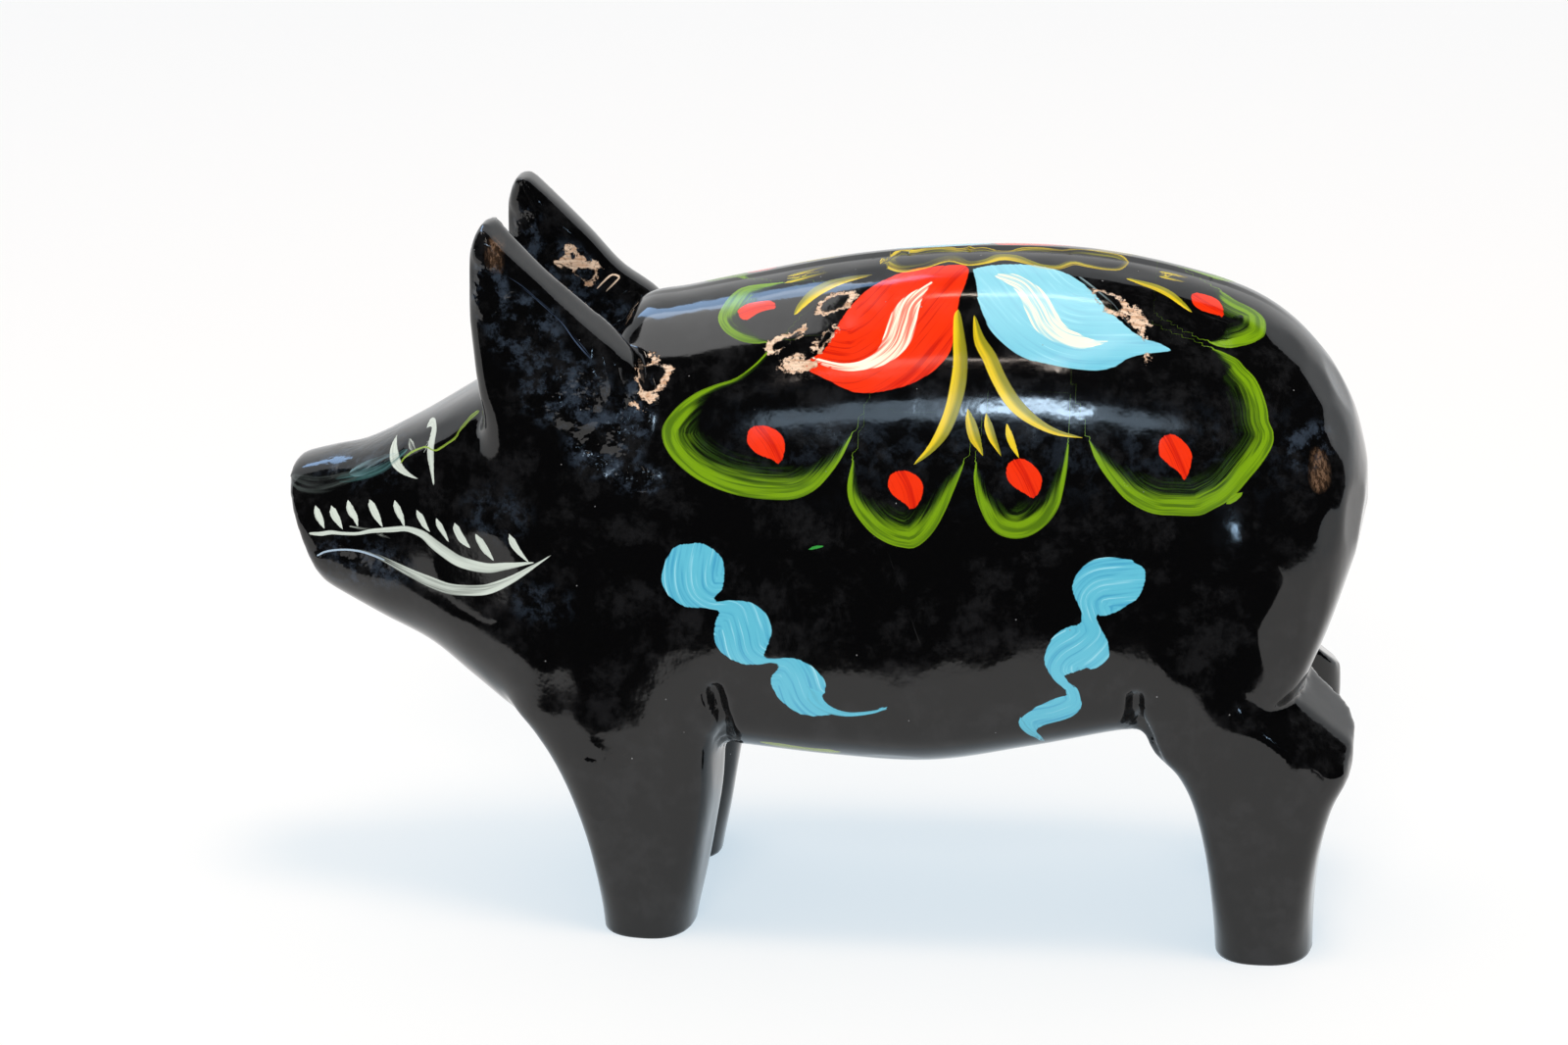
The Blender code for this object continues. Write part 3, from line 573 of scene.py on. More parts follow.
# The line that parts the table, by x and y: the part nearer the camera doesn't show in the
# lacquer, so the line shapes the grey and the black parts of the belly and throat.
TABLE_EDGE = [
    (-300, -128), (-163, -121), (-143, -105), (-135, -88), (-128, -58), (-120, -32),
    (-112, -34), (-107, -62), (-102, -82), (-99, -108), (-92, -114), (-80, -104),
    (-70, -94), (-62, -91), (-55, -112), (-57, -138), (-63, -170), (-61, -191), (-51, -200),
    (-27, -178), (-2, -167), (9, -180), (22, -206), (35, -210), (56, -190), (70, -120),
    (82, -107), (100, -112), (112, -120), (140, -150), (173, -230), (313, -420), (600, -900),
]
TABLE_ALBEDO = (0.40, 0.29, 0.20)
TABLE_GLOW = (0.523, 0.65, 0.749)
BACK_GLOW = (0.522, 0.634, 0.726)
TABLE_SHEEN = 0.2
TABLE_ROUGHNESS = 0.8
PAPER_ROUGHNESS = 0.9
BACK_FROM = (0.03, 0.35)
# The table's near and far edge and half its width, and the paper's height, in metres
TABLE_SIZE = (-4, 1.6, 4)
PAPER_HEIGHT = 3.2
ROOM_COLOUR = (1.0, 0.97, 0.94)
ROOM_STRENGTH = 0.70
PIG_MIDDLE = (0.0, 0.0, 0.05)
# Area lights: name, place and size in metres, radiance, colour, and whether they show in the
# lacquer and whether they light up the table.
WARM, FLASH, BLUE = (1, 0.96, 0.90), (0.60, 0.80, 1.0), (0.50, 0.74, 1.0)
PANELS = [
    ("soft_key", (0.2, -0.2, 1.5), (0.45, 0.45), 16.5, WARM, False, True),
    ("front_fill", (-0.05, -1.15, 0.74), (0.3, 0.2), 26.0, (0.9, 0.95, 1), False, True),
    ("front_light", (-0.02, -1.18, 0.74), (0.22, 0.045), 28.0, FLASH, True, False),
    ("front_wings", (-0.03, -1.20, 0.74), (0.60, 0.11), 3.1, FLASH, True, False),
    ("right_spark", (0.36, -0.95, 0.16), (0.03, 0.04), 22.0, BLUE, True, False),
]
CEILING_PANEL = ("left_panel", (-0.48, 0.16, 1.2), (0.36, 1.16), 2.4, (1, 1, 1), True, False)
# Long lights that the lacquer shows as lines: name, both ends and width in metres, radiance
# and colour.
TUBES = [
    ("tube_far", (-0.20, 0.0, 1.2), (0.15, 0.0, 1.2), 0.04, 16, (1, 0.86, 0.72)),
    ("tube_near", (-0.32, -1.12, 1.2), (0.04, -1.14, 1.2), 0.025, 12, (1, 0.86, 0.76)),
    ("tube_side", (0.05, -1.1, 1.2), (0.19, -0.55, 1.2), 0.025, 10, (1, 0.9, 0.8)),
]
WINDOW = ("left_window", (-0.75, 1.15, 1.2), (-0.27, 0.44, 1.2), 0.24, 5.0, (0.35, 0.6, 1.0))

# Lacquer: its roughness, what paint, wear, haze and bare wood add to that, and how deep the
# waves, the orange peel, the hammered spots and the chips are, in millimetres. The haze is
# scuffing tinted bluish as a painted reflection.
LACQUER_ROUGHNESS = 0.065
PAINT_ROUGHNESS = 0.15
WORN_ROUGHNESS = 0.35
HAZE_ROUGHNESS = 0.10
FILM_ROUGHNESS = 0.05
WOOD_ROUGHNESS = 0.55
WAVE_DEPTH = 0.09
PEEL_DEPTH = 0.006
HAMMERED_DEPTH = 0.28
CHIP_DEPTH = 0.09
# How rough the paint of the filled shapes is, as a share of a thin stroke's
SHAPE_PAINT = 0.4
# How far the lacquer shows through the streaks of a thin stroke
STREAK_DEPTH = 0.3

# Brushes: how many streaks they leave to a millimetre, and how far the streaks make the edge of
# a stroke waver, in millimetres
PETAL_BRUSH = (1.6, 0.22)
LEAF_BRUSH = (2.4, 0.4)
CREAM_BRUSH = (3.0, 0.5)
LINE_BRUSH = (1.4, 0.3)
PETAL_HAIRS = 5.0
# Every brush's streaks: how many to a millimetre along a stroke, how rough they are, and how
# far apart in the noise two layers take theirs
STREAKS_ALONG = 0.09
STREAK_ROUGHNESS = 0.6
STREAKS_APART = 7.3
# Noise: how many bumps to a millimetre, how much detail and how rough it is
CLOUDS = (0.2, 4.0, 0.72)
BLOTCHES = (0.42, 4.0, 0.7)
WAVES = (0.16, 1.0)
PEEL = (1.1, 1.0)
HAMMERING = (0.5, 2.0, 0.6)
CHIPPING = (0.9, 5.0, 0.75)
FLAKES = (3.2, 3.0, 0.6)
DIRT = (2.2, 3.0, 0.7)
SCRAPES = ((2.4, 2.4, 0.8), 0.7)
WOOD_GRAIN = ((0.3, 2.2, 2.2), 0.65)
# From here on, two numbers say where a share starts and is full, and a third and a fourth say
# what it is there, if not 0 and 1. Distances are in millimetres out from an edge, but for
# petals, which are measured inwards.
PETAL_EDGE = (0.0, 0.12)
SHAPE_EDGE = (0.05, -0.07)
LINE_EDGE = (0.05, -0.15)
CHIP_EDGE = (0.06, -0.08)
HOLE_EDGE = (0.1, 0.3)
# Petals, by the share of their width: where the hairs comb them out, where the green ends, and
# where it turns dark. Streaks sway that by PETAL_SWAY. Then which of the hairs count, and
# which of the streaks are darker, to which the hairs add by HAIR_SHADE.
PETAL_COMBED = (0.50, 1.0, 0.0, 0.85)
PETAL_END = (1.6, 0.75)
PETAL_DARK = (0.42, 1.05)
PETAL_SWAY = 0.7
HAIR_LINES = (0.46, 0.58)
LIME_STREAKS = (0.66, 0.90)
HAIR_SHADE = 0.5
# Leaves: which streaks are darker, which of the blue ones are lighter, between which levels the
# blue turns paler upwards as a painted sheen, and where the cream is dry.
DARK_STREAKS = (0.48, 0.72)
LIGHT_STREAKS = (0.42, 0.28, 0.0, 0.8)
BLUE_PAINTED_SHEEN_LEVELS = (72.0, 82.0, 0.0, 0.6)
CREAM_DRY = (0.60, 0.42, 0.2, 1.0)
# Thin strokes: the olive side, the streaks, and how much paint is left where the brush runs
# dry, by its load and by the streaks.
OLIVE_SIDE = (0.45, -0.35, 0.0, 0.85)
LINE_STREAKS = (0.4, 0.75)
LINE_DRY = (0.2, 0.6)
DRY_BY_LOAD = 1.3
DRY_BY_STREAK = -0.8
# Chips: how far the noise moves their edges and the edges of the holes in them, how far they
# keep inside their outlines, and the islands of lacquer in them.
CHIP_SWAY = 3.4
HOLE_SWAY = 1.4
CHIP_INSET = 0.05
FLAKE_SHARE = (0.56, 0.66)
ISLANDS = (-0.9, 0.0, 0.35, 1.0)
# Film and haze on the lacquer, wear, dust, and the fibres and dirt of bare wood. The haze is a
# scuffed patch whose bluish tint is a painted reflection of the lights.
FILM_SHARE = (0.47, 0.68)
FILM_ROUGH = (0.4, 0.7, 0.0, FILM_ROUGHNESS)
HAZE_AND_REFLECTION_SHARE = (0.46, 0.66)
HAZE_AND_REFLECTION_GAIN = 1.6
WORN_EDGE = (0.5, -0.7)
WORN_STREAKS = (0.44, 0.60, 0.15, 0.9)
DUST_CELLS = 0.45
DUST_KEPT = (0.76, 0.78)
DUST_SIZE = (0.05, 0.03)
FIBRES = (0.36, 0.66)
DIRT_SHARE = (0.56, 0.70, 0.0, 0.8)


def colour(red, green, blue):
    """A linear colour from the screen values of it."""
    values = [v / 255 for v in (red, green, blue)]
    linear = [v / 12.92 if v <= 0.04045 else ((v + 0.055) / 1.055) ** 2.4 for v in values]
    return (*linear, 1.0)


BLACK = (0.0020, 0.0020, 0.0022, 1.0)
FILM = (0.0085, 0.0085, 0.0092, 1.0)
# Painted reflection: the bluish tint of the scuffed, hammered spots, which stands for the glints of a
# blue light in them
HAZE_AND_REFLECTION_TINT = (0.026, 0.036, 0.052, 1.0)
DUST = colour(130, 130, 130)
RED = colour(232, 48, 8)
RED_SHADE = colour(198, 26, 5)
SKY = colour(94, 183, 206)
SKY_SHADE = colour(70, 158, 192)
SKY_LIGHT = colour(160, 218, 232)
LIME = colour(114, 153, 5)
LIME_SHADE = colour(78, 112, 6)
MOSS_GREEN = colour(36, 60, 10)
CREAM = colour(245, 240, 215)
OLIVE = colour(118, 122, 18)
WOOD = colour(236, 208, 182)
WOOD_SHADE = colour(196, 152, 118)
WOOD_DIRT = colour(120, 88, 66)
WORN_BROWN = colour(112, 84, 62)
LINE_COLOURS = {
    "yellow": colour(224, 194, 14),
    "white": colour(205, 214, 204),
    "moss": colour(150, 165, 60),
    "brow": colour(140, 168, 60),
    "lime": LIME,
    "sky": colour(92, 184, 208),
    "pale": colour(196, 228, 236),
    # Painted reflections on the snout: a teal-grey mottle, a paler patch and a darker mottle
    "teal": colour(70, 112, 112),
    "mist": colour(118, 152, 160),
    "fog": colour(76, 84, 82),
    "thin": colour(168, 188, 206),
    "speck": colour(50, 150, 60),
    "dust": colour(120, 120, 122),
    "bare": WOOD,
    # Painted highlight along the near ear's ridge
    "rubbed": colour(96, 118, 150),
}


def spline(stations, steps):
    """Rows between the stations, on a smooth curve through every column."""
    last = len(stations) - 1
    rows = []
    for i in range(last):
        nearest = [stations[min(max(i + k, 0), last)] for k in (-1, 0, 1, 2)]
        a, b, c, d = np.array(nearest, float)
        bend, twist = 2 * a - 5 * b + 4 * c - d, 3 * b - a - 3 * c + d
        for t in np.arange(steps) / steps:
            rows.append(0.5 * (2 * b + (c - a) * t + bend * t * t + twist * t**3))
    return np.array(rows + [stations[-1]])


def power(value, exponent):
    """A signed power, which rounds or squares a ring."""
    return math.copysign(abs(value) ** exponent, value)


def ramp(value, start, end):
    """0 before start, 1 after end, and smooth between them. Takes numbers and arrays."""
    t = np.clip((value - start) / (end - start), 0.0, 1.0)
    return t * t * (3 - 2 * t)


def window(value, rise, fall):
    """0 up to rise, 1 from rise to fall and 0 after fall, each given by its start and end."""
    return ramp(value, *rise) * (1 - ramp(value, *fall))


def half_width(x):
    """The body's half width in millimetres at x, a share of LENGTH."""
    rows = [((row[0] + row[2]) / 2, row[4]) for row in BODY]
    for (x1, w1), (x2, w2) in zip(rows, rows[1:]):
        if x <= x2:
            break
    share = min(max((x - x1) / (x2 - x1), 0.0), 1.0)
    return (w1 + (w2 - w1) * share) * WIDTH


def at(x, z, y=0.0):
    """A point from shares of LENGTH and HEIGHT, and y in millimetres."""
    return Vector((x * LENGTH, y, z * HEIGHT))


def ring_angles():
    return [2 * math.pi * i / RING_POINTS for i in range(RING_POINTS)]


def body_ring(row):
    """A closed ring between a spine point and a belly point."""
    top_x, top_z, low_x, low_z, half, widest, squareness = row
    top, low = at(top_x, top_z), at(low_x, low_z)
    middle = low.lerp(top, widest)
    points = []
    for angle in ring_angles():
        above = math.sin(angle) > 0
        exponent = 2 / (squareness if above else BELLY_SQUARENESS)
        rise = power(math.sin(angle), exponent)
        side = power(math.cos(angle), exponent)
        reach = (top - middle) if above else (middle - low)
        points.append(middle + reach * rise + Vector((0, side * half * WIDTH, 0)))
    return points


def level_ring(z, front, rear, near, far_at, squareness, turn=0.0):
    """A level ring on the -Y side. x is a share along the pig, and far_at gives y from it. turn
    is how far the rear face is set forward at its outer edge."""
    middle = (front + rear) / 2
    points = []
    for angle in ring_angles():
        x = middle + power(math.cos(angle), 2 / squareness) * (rear - front) / 2
        across = (1 - power(math.sin(angle), 2 / squareness)) / 2
        y = near + (far_at(x) - near) * across
        x -= turn * across * (1 + math.cos(angle)) / 2
        points.append(at(x, z, -y))
    return points


def leg_ring(row):
    z, front, rear, inner_offset, outer = row

    def outer_y(x):
        return outer * half_width(min(x, HINDLEG_WIDEST_X))

    inner = LEG_GAP / 2 + inner_offset * WIDTH
    squareness = FOOT_SQUARENESS + (LEG_SQUARENESS - FOOT_SQUARENESS) * ramp(z, 0.0, FOOT_TOP)
    return level_ring(z, front, rear, inner, outer_y, squareness, LEG_TURN / LENGTH)


def ear_ring(row):
    z, front, rear, inner_lean, outer_lean = row
    near = EAR_GAP / 2 - inner_lean * EAR_THICKNESS
    far = EAR_GAP / 2 + (1 - outer_lean) * EAR_THICKNESS
    return level_ring(z, front, rear, near, lambda x: far, EAR_SQUARENESS)


def skin(rings, start=None, end=None):
    """A closed mesh through the rings, with a pole or a flat cap at each end."""
    mesh = bmesh.new()
    loops = [[mesh.verts.new(p) for p in ring] for ring in rings]
    for one, two in zip(loops, loops[1:]):
        for i in range(len(one)):
            j = (i + 1) % len(one)
            mesh.faces.new((one[i], one[j], two[j], two[i]))
    for loop, pole in ((loops[0], start), (loops[-1], end)):
        if pole is None:
            mesh.faces.new(loop)
        else:
            tip = mesh.verts.new(pole)
            for i in range(len(loop)):
                mesh.faces.new((loop[i], loop[(i + 1) % len(loop)], tip))
    bmesh.ops.recalc_face_normals(mesh, faces=mesh.faces)
    return mesh


def pared(mesh, point, normal):
    """Takes off what lies beyond a plane, as one straight cut of the knife does."""
    cut = bmesh.ops.bisect_plane(
        mesh,
        geom=mesh.verts[:] + mesh.edges[:] + mesh.faces[:],
        plane_co=point,
        plane_no=normal,
        clear_outer=True,
    )
    rim = [e for e in cut["geom_cut"] if isinstance(e, bmesh.types.BMEdge)]
    bmesh.ops.contextual_create(mesh, geom=rim)
    bmesh.ops.recalc_face_normals(mesh, faces=mesh.faces)
    return mesh


def body_mesh():
    rings = [body_ring(row) for row in spline(BODY, STEPS)]
    return skin(rings, start=at(*SNOUT_CENTRE), end=at(*RUMP_CENTRE))


def leg_mesh(rows):
    """A leg, cut off level below the ground."""
    leg = skin([leg_ring(row) for row in rows])
    return pared(leg, Vector((0, 0, -FOOT_SPARE)), Vector((0, 0, -1)))


def hindleg_mesh(hock_tip):
    """A hind leg, with the slanted and bevelled cut that leaves the hock standing out behind."""
    foot_rear = HINDLEG[-1][2]
    shorter = (HOCK_TIP[0] - hock_tip[0]) / (HOCK_TIP[0] - foot_rear)
    rows = []
    for z, front, rear, inner, outer in spline(HINDLEG, STEPS):
        rows.append((z, front, rear - shorter * (rear - foot_rear), inner, outer))
    mesh = leg_mesh(rows)
    tip = at(*hock_tip)
    upward = Vector((math.sin(math.radians(HOCK_SLOPE)), 0, math.cos(math.radians(HOCK_SLOPE))))
    lean = math.tan(math.radians(HOCK_LEAN))
    bevel = math.tan(math.radians(HOCK_BEVEL))
    pared(mesh, tip, upward + OUTWARD * lean)
    reach = half_width(HINDLEG_WIDEST_X) - HOCK_BEVEL_WIDTH
    edge = tip + OUTWARD * reach - upward * (reach * lean)
    return pared(mesh, edge, upward + OUTWARD * bevel)


def ear_mesh(flare, slant):
    """An ear whose outer face leans in behind its ridge, and whose rear face slants down
    outwards."""
    rows = []
    for z, front, rear, inner, outer in spline(EAR, STEPS):
        share = math.exp(-(((z - FLARE_LEVEL) / FLARE_SPREAD) ** 2))
        rows.append((z, front, rear + share * flare / LENGTH, inner, outer))
    (x1, z1), (x2, z2) = EAR_RIDGE
    ridge = at(x1, z1, -(EAR_GAP / 2 + EAR_THICKNESS - EAR_RIDGE_INSET))
    rearward = OUTWARD.cross(at(x2 - x1, z2 - z1).normalized())
    bevel = math.radians(EAR_BEVEL)
    normal = OUTWARD * math.cos(bevel) + rearward * math.sin(bevel)
    ear = pared(skin([ear_ring(row) for row in rows]), ridge, normal)
    (x1, z1), (x2, z2) = EAR_REAR
    inner_edge = at(x1, z1, -EAR_GAP / 2)
    rearward = OUTWARD.cross(at(x2 - x1, z2 - z1).normalized())
    slant = math.radians(slant)
    return pared(ear, inner_edge, rearward * math.cos(slant) + OUTWARD * math.sin(slant))


def mirrored(mesh):
    """A copy of a mesh on the other side of the pig."""
    other = mesh.copy()
    for v in other.verts:
        v.co.y = -v.co.y
    bmesh.ops.reverse_faces(other, faces=other.faces)
    return other


def as_object(meshes, name):
    """One object from several meshes in millimetres."""
    whole = bmesh.new()
    for mesh in meshes:
        part = bpy.data.meshes.new("part")
        mesh.to_mesh(part)
        whole.from_mesh(part)
        mesh.free()
        bpy.data.meshes.remove(part)
    bmesh.ops.scale(whole, vec=(MM, MM, MM), verts=whole.verts)
    data = bpy.data.meshes.new(name)
    whole.to_mesh(data)
    whole.free()
    return linked(name, data)


def with_modifier(piece, kind, **values):
    """Adds one modifier and applies it."""
    modifier = piece.modifiers.new(kind.title(), kind)
    for key, value in values.items():
        setattr(modifier, key, value)
    graph = bpy.context.evaluated_depsgraph_get()
    data = bpy.data.meshes.new_from_object(piece.evaluated_get(graph))
    piece.modifiers.clear()
    piece.data = data


def shoulder_share(x, y, z):
    """How much a point is softened, so that legs run flush into the flanks. Here and below, x,
    y and z are shares of LENGTH, WIDTH and HEIGHT."""
    level = window(z, *SHOULDER_LEVEL)
    return ramp(y, *SHOULDER_SIDE) * level * (1 - ramp(x, *SHOULDER_REAR))


def ear_root_share(x, y, z):
    """The same where the outer side of an ear runs into the cheek."""
    level = window(z, *EAR_ROOT_LEVEL)
    brow = (1 - ramp(z, *BROW_LEVEL)) * ramp(x, *BROW_FRONT)
    front = np.maximum(ramp(x, *EAR_ROOT_FRONT), brow)
    return ramp(y, *EAR_ROOT_SIDE) * level * front * (1 - ramp(x, *EAR_ROOT_REAR))


def neck_share(x, y, z):
    """The same, and far milder, where the spine steps up behind the ears."""
    return NECK_SOFTNESS * window(x, *NECK_ALONG) * ramp(z, *NECK_LEVEL)


def places(piece):
    """The vertices in millimetres, one row each."""
    flat = np.empty(len(piece.data.vertices) * 3)
    piece.data.vertices.foreach_get("co", flat)
    return flat.reshape(-1, 3) / MM


def place(piece, points):
    """Moves the vertices to points in millimetres."""
    piece.data.vertices.foreach_set("co", (points * MM).ravel())
    piece.data.update()


def normals(piece):
    flat = np.empty(len(piece.data.vertices) * 3)
    piece.data.vertices.foreach_get("normal", flat)
    return flat.reshape(-1, 3)


def blend(piece, name, share):
    """Softens the places that share picks out, far more than the rest."""
    group = piece.vertex_groups.new(name=name)
    x, y, z = places(piece).T
    weights = share(x / LENGTH, abs(y) / WIDTH, z / HEIGHT)
    for index in np.nonzero(weights > 0)[0]:
        group.add([int(index)], float(weights[index]), "REPLACE")
    with_modifier(piece, "SMOOTH", factor=0.5, iterations=BLENDING_PASSES, vertex_group=name)
    piece.vertex_groups.clear()


def carve_pig():
    meshes = [
        body_mesh(),
        leg_mesh(spline(FORELEG, STEPS)),
        mirrored(leg_mesh(spline(FORELEG, STEPS))),
        ear_mesh(NEAR_FLARE, NEAR_SLANT),
        mirrored(ear_mesh(FAR_FLARE, FAR_SLANT)),
        hindleg_mesh(HOCK_TIP),
        mirrored(hindleg_mesh(FAR_HOCK_TIP)),
    ]
    pig = as_object(meshes, "painted_pig")
    with_modifier(pig, "REMESH", mode="VOXEL", voxel_size=VOXEL * MM)
    blend(pig, "shoulders", shoulder_share)
    blend(pig, "ear_roots", ear_root_share)
    blend(pig, "neck", neck_share)
    with_modifier(pig, "SMOOTH", factor=SMOOTHING, iterations=SOFTENING_PASSES)
    knife_cuts(pig)
    pressed(pig)
    with_modifier(pig, "SMOOTH", factor=SMOOTHING, iterations=FINISHING_PASSES)
    points = places(pig)
    near_ear = ramp(points[:, 2], *SHORTER_OVER) * (points[:, 1] < 0)
    points[:, 2] = np.maximum(points[:, 2], 0) - near_ear * NEAR_EAR_SHORTER
    place(pig, points)
    return pig


def knife_cuts(piece):
    """Shallow flats that run out smoothly at their ends, as a knife leaves them."""
    points, outward = places(piece), normals(piece)
    random = np.random.default_rng(CUT_SEED)
    for side in (-1, 1):
        for count, low, high, direction, depths, reach in KNIFE_CUTS:
            folded = points * (1, side, 1)
            starts = np.nonzero(((folded > low) & (folded < high)).all(axis=1))[0]
            for start in random.choice(starts, count, replace=False):
                depth = random.uniform(*depths)
                normal = outward[start] + random.normal(0, CUT_LEAN, 3)
                normal /= np.linalg.norm(normal)
                run = direction - normal * np.dot(direction, normal)
                run /= np.linalg.norm(run)
                offset = points - points[start]
                near = np.nonzero((offset**2).sum(axis=1) < reach**2)[0]
                near = near[outward[near] @ normal > CUT_FACING]
                along = offset[near] @ run / reach
                across = offset[near] @ np.cross(normal, run) / reach
                above = offset[near] @ normal + depth * (1 - along**2 - across**2)
                if above.max() < TOO_DEEP * depth:
                    points[near] -= np.maximum(above, 0)[:, None] * normal
    place(piece, points)


def pressed(piece):
    """Creases and steps in both sides."""
    points, outward = places(piece), normals(piece)
    side = points[:, [0, 2]]
    facing = ramp(np.abs(outward[:, 1]), *SIDE_FACING) * (np.abs(points[:, 1]) > OFF_SPINE)
    depth = np.zeros(len(points))
    for line, deep, width in CREASES:
        index = close_by(side, facing > 0, np.array(line), width)
        distance = Near(side[index], spline(line, CURVE_STEPS)).distance
        depth[index] = np.maximum(depth[index], deep * np.clip(1 - distance / width, 0, 1))
    for line, drop, wall, reach in TERRACES:
        line = spline(line, CURVE_STEPS)
        index = close_by(side, facing > 0, line, reach)
        near = Near(side[index], line)
        set_back = ramp(near.across, -wall / 2, wall / 2) * (1 - ramp(near.across, wall, reach))
        ends = window(near.along, (0.0, 1.0), (near.total - 1.0, near.total))
        depth[index] += drop * set_back * ends
    place(piece, points - outward * (depth * facing)[:, None])


def centre_on_ground(piece):
    """Puts the origin on the ground, under the middle of the figurine."""
    points = places(piece)
    low, high = points.min(axis=0), points.max(axis=0)
    middle = (low + high) / 2
    points -= (middle[0], middle[1], low[2])
    place(piece, points)


class Near:
    """The nearest place on a line for every point: how far off it is, positive on the line's
    left, and how far along."""

    def __init__(self, points, line):
        start, step = line[:-1, :2], np.diff(line[:, :2], axis=0)
        length = np.maximum(np.hypot(*step.T), 1e-9)
        offset = points[:, None] - start[None]
        share = np.clip((offset * step).sum(axis=2) / length**2, 0, 1)
        gap = offset - share[..., None] * step
        far = np.hypot(gap[..., 0], gap[..., 1])
        best = far.argmin(axis=1)
        rows = np.arange(len(points))
        self.distance = far[rows, best]
        cross = step[best, 0] * gap[rows, best, 1] - step[best, 1] * gap[rows, best, 0]
        self.across = np.where(cross < 0, -1, 1) * self.distance
        self.segment, self.share = best, share[rows, best]
        self.along = (np.cumsum(length) - length)[best] + self.share * length[best]
        self.total = length.sum()

    def value(self, column):
        """A column of the line's rows at the nearest place."""
        return column[self.segment] * (1 - self.share) + column[self.segment + 1] * self.share


def inside(points, ring):
    """Whether each point is inside a closed line."""
    x, y = points[:, 0, None], points[:, 1, None]
    x1, y1 = ring[:-1, 0], ring[:-1, 1]
    x2, y2 = ring[1:, 0], ring[1:, 1]
    crosses = (y1 > y) != (y2 > y)
    with np.errstate(divide="ignore", invalid="ignore"):
        crossing = x1 + (y - y1) / (y2 - y1) * (x2 - x1)
    return (crosses & (x < crossing)).sum(axis=1) % 2 == 1


def flat_charts(points):
    """Flat charts of the pig, on which the strokes are given. For each place to paint, its
    charts, the vertices that count, and whether the stroke is turned round."""
    x, y, z = points.T
    ring = np.array(body_ring(TRUNK_SECTION))[RING_POINTS // 4 : RING_POINTS * 3 // 4 + 1]
    angles = np.arctan2(-ring[:, 1], ring[:, 2] - TRUNK_AXIS_Z)
    lengths = np.cumsum(np.r_[0, np.hypot(*np.diff(ring[:, 1:], axis=0).T)])
    angle = np.arctan2(-y, z - TRUNK_AXIS_Z)
    around = np.sign(angle) * np.interp(np.abs(angle), angles, lengths)
    trunk, side = np.stack([x, around], axis=1), np.stack([x, z], axis=1)
    everywhere, near, far = y < WIDTH, y < -OFF_MIDDLE, y > OFF_MIDDLE
    inner_y, outer_y, root_z = FAR_EAR_INSIDE
    return {
        "flanks": [(trunk, everywhere, False), (trunk, everywhere, True)],
        "near flank": [(trunk, everywhere, False)],
        "cheeks": [(side, near, False), (side, far, False)],
        "near cheek": [(side, near, False)],
        "far ear": [(side, (y > inner_y) & (y < outer_y) & (z > root_z), False)],
    }


def copies(charts, where, stroke, columns=2):
    """(chart, mask, rows) for each copy of a stroke, which is given as a flat row."""
    for chart, mask, turned in charts[where]:
        rows = np.array(stroke, float).reshape(-1, columns)
        if turned:
            rows[:, :2] = (2 * PATTERN_X, FAR_RISE) - rows[:, :2]
        yield chart, mask, rows


def close_by(chart, mask, line, margin):
    """The indices of the vertices that lie within margin of the line's box."""
    low, high = line[:, :2].min(axis=0) - margin, line[:, :2].max(axis=0) + margin
    return np.nonzero(mask & (chart > low).all(axis=1) & (chart < high).all(axis=1))[0]


def store(piece, name, kind, values):
    """Keeps one value per vertex on the mesh for the material to read."""
    attribute = piece.data.attributes.new(name, kind, "POINT")
    field = {"FLOAT": "value", "FLOAT_VECTOR": "vector", "FLOAT_COLOR": "color"}[kind]
    attribute.data.foreach_set(field, np.ascontiguousarray(values, np.float32).ravel())


class Field:
    """Values on the vertices, each of which keeps those of the stroke nearest to it."""

    def __init__(self, piece, *far_off):
        count = len(piece.data.vertices)
        self.values = np.tile(far_off, (count, 1))
        self.gap = np.full(count, FAR)

    def take(self, index, gap, *columns):
        nearer = gap < self.gap[index]
        rows = np.stack(np.broadcast_arrays(*columns), axis=1)
        self.values[index[nearer]] = rows[nearer]
        self.gap[index[nearer]] = gap[nearer]


def paint_petals(piece, charts, name, petals):
    """Strokes with one crisp edge that fade away from it. Stores how far inside the edge each
    vertex is, how far along, and how wide the stroke is there."""
    field = Field(piece, -FAR, 0.0, MIN_WIDTH)
    for petal in petals:
        for chart, mask, rows in copies(charts, "flanks", petal, 3):
            line = spline(rows, CURVE_STEPS)
            index = close_by(chart, mask, line, line[:, 2].max() + MARGIN)
            near = Near(chart[index], line)
            width = np.maximum(near.value(line[:, 2]), MIN_WIDTH)
            field.take(index, near.distance, -near.across, near.along, width)
    store(piece, name, "FLOAT_VECTOR", field.values)


def paint_shapes(piece, charts, name, shapes):
    """Filled shapes. Stores how far outside its outline each vertex is, and its place across
    and along the flow of the brush, which is the outline's first side where none is given."""
    field = Field(piece, FAR, 0.0, 0.0)
    for where, outline, *flow in shapes:
        flows = copies(charts, where, flow[0] if flow else outline[:4])
        for (chart, mask, rows), (_, _, flow_rows) in zip(copies(charts, where, outline), flows):
            around = np.vstack([rows[-1:], rows, rows[:2]])
            ring = spline(around, CURVE_STEPS)[CURVE_STEPS:-CURVE_STEPS]
            index = close_by(chart, mask, ring, MARGIN)
            distance = Near(chart[index], ring).distance
            distance = np.where(inside(chart[index], ring), -distance, distance)
            streak = Near(chart[index], spline(flow_rows, CURVE_STEPS))
            field.take(index, distance, distance, streak.across, streak.along)
    store(piece, name, "FLOAT_VECTOR", field.values)


def lengthened(line):
    """The line with a straight lead at each end, over which its width runs out."""
    leads = []
    for end, inner in ((line[0], line[1]), (line[-1], line[-2])):
        away = end - inner
        lead = end + away / np.hypot(*away[:2]) * LEAD
        lead[2] = end[2] - LEAD_DROP
        leads.append(lead)
    return np.vstack([leads[0], line, leads[1]])


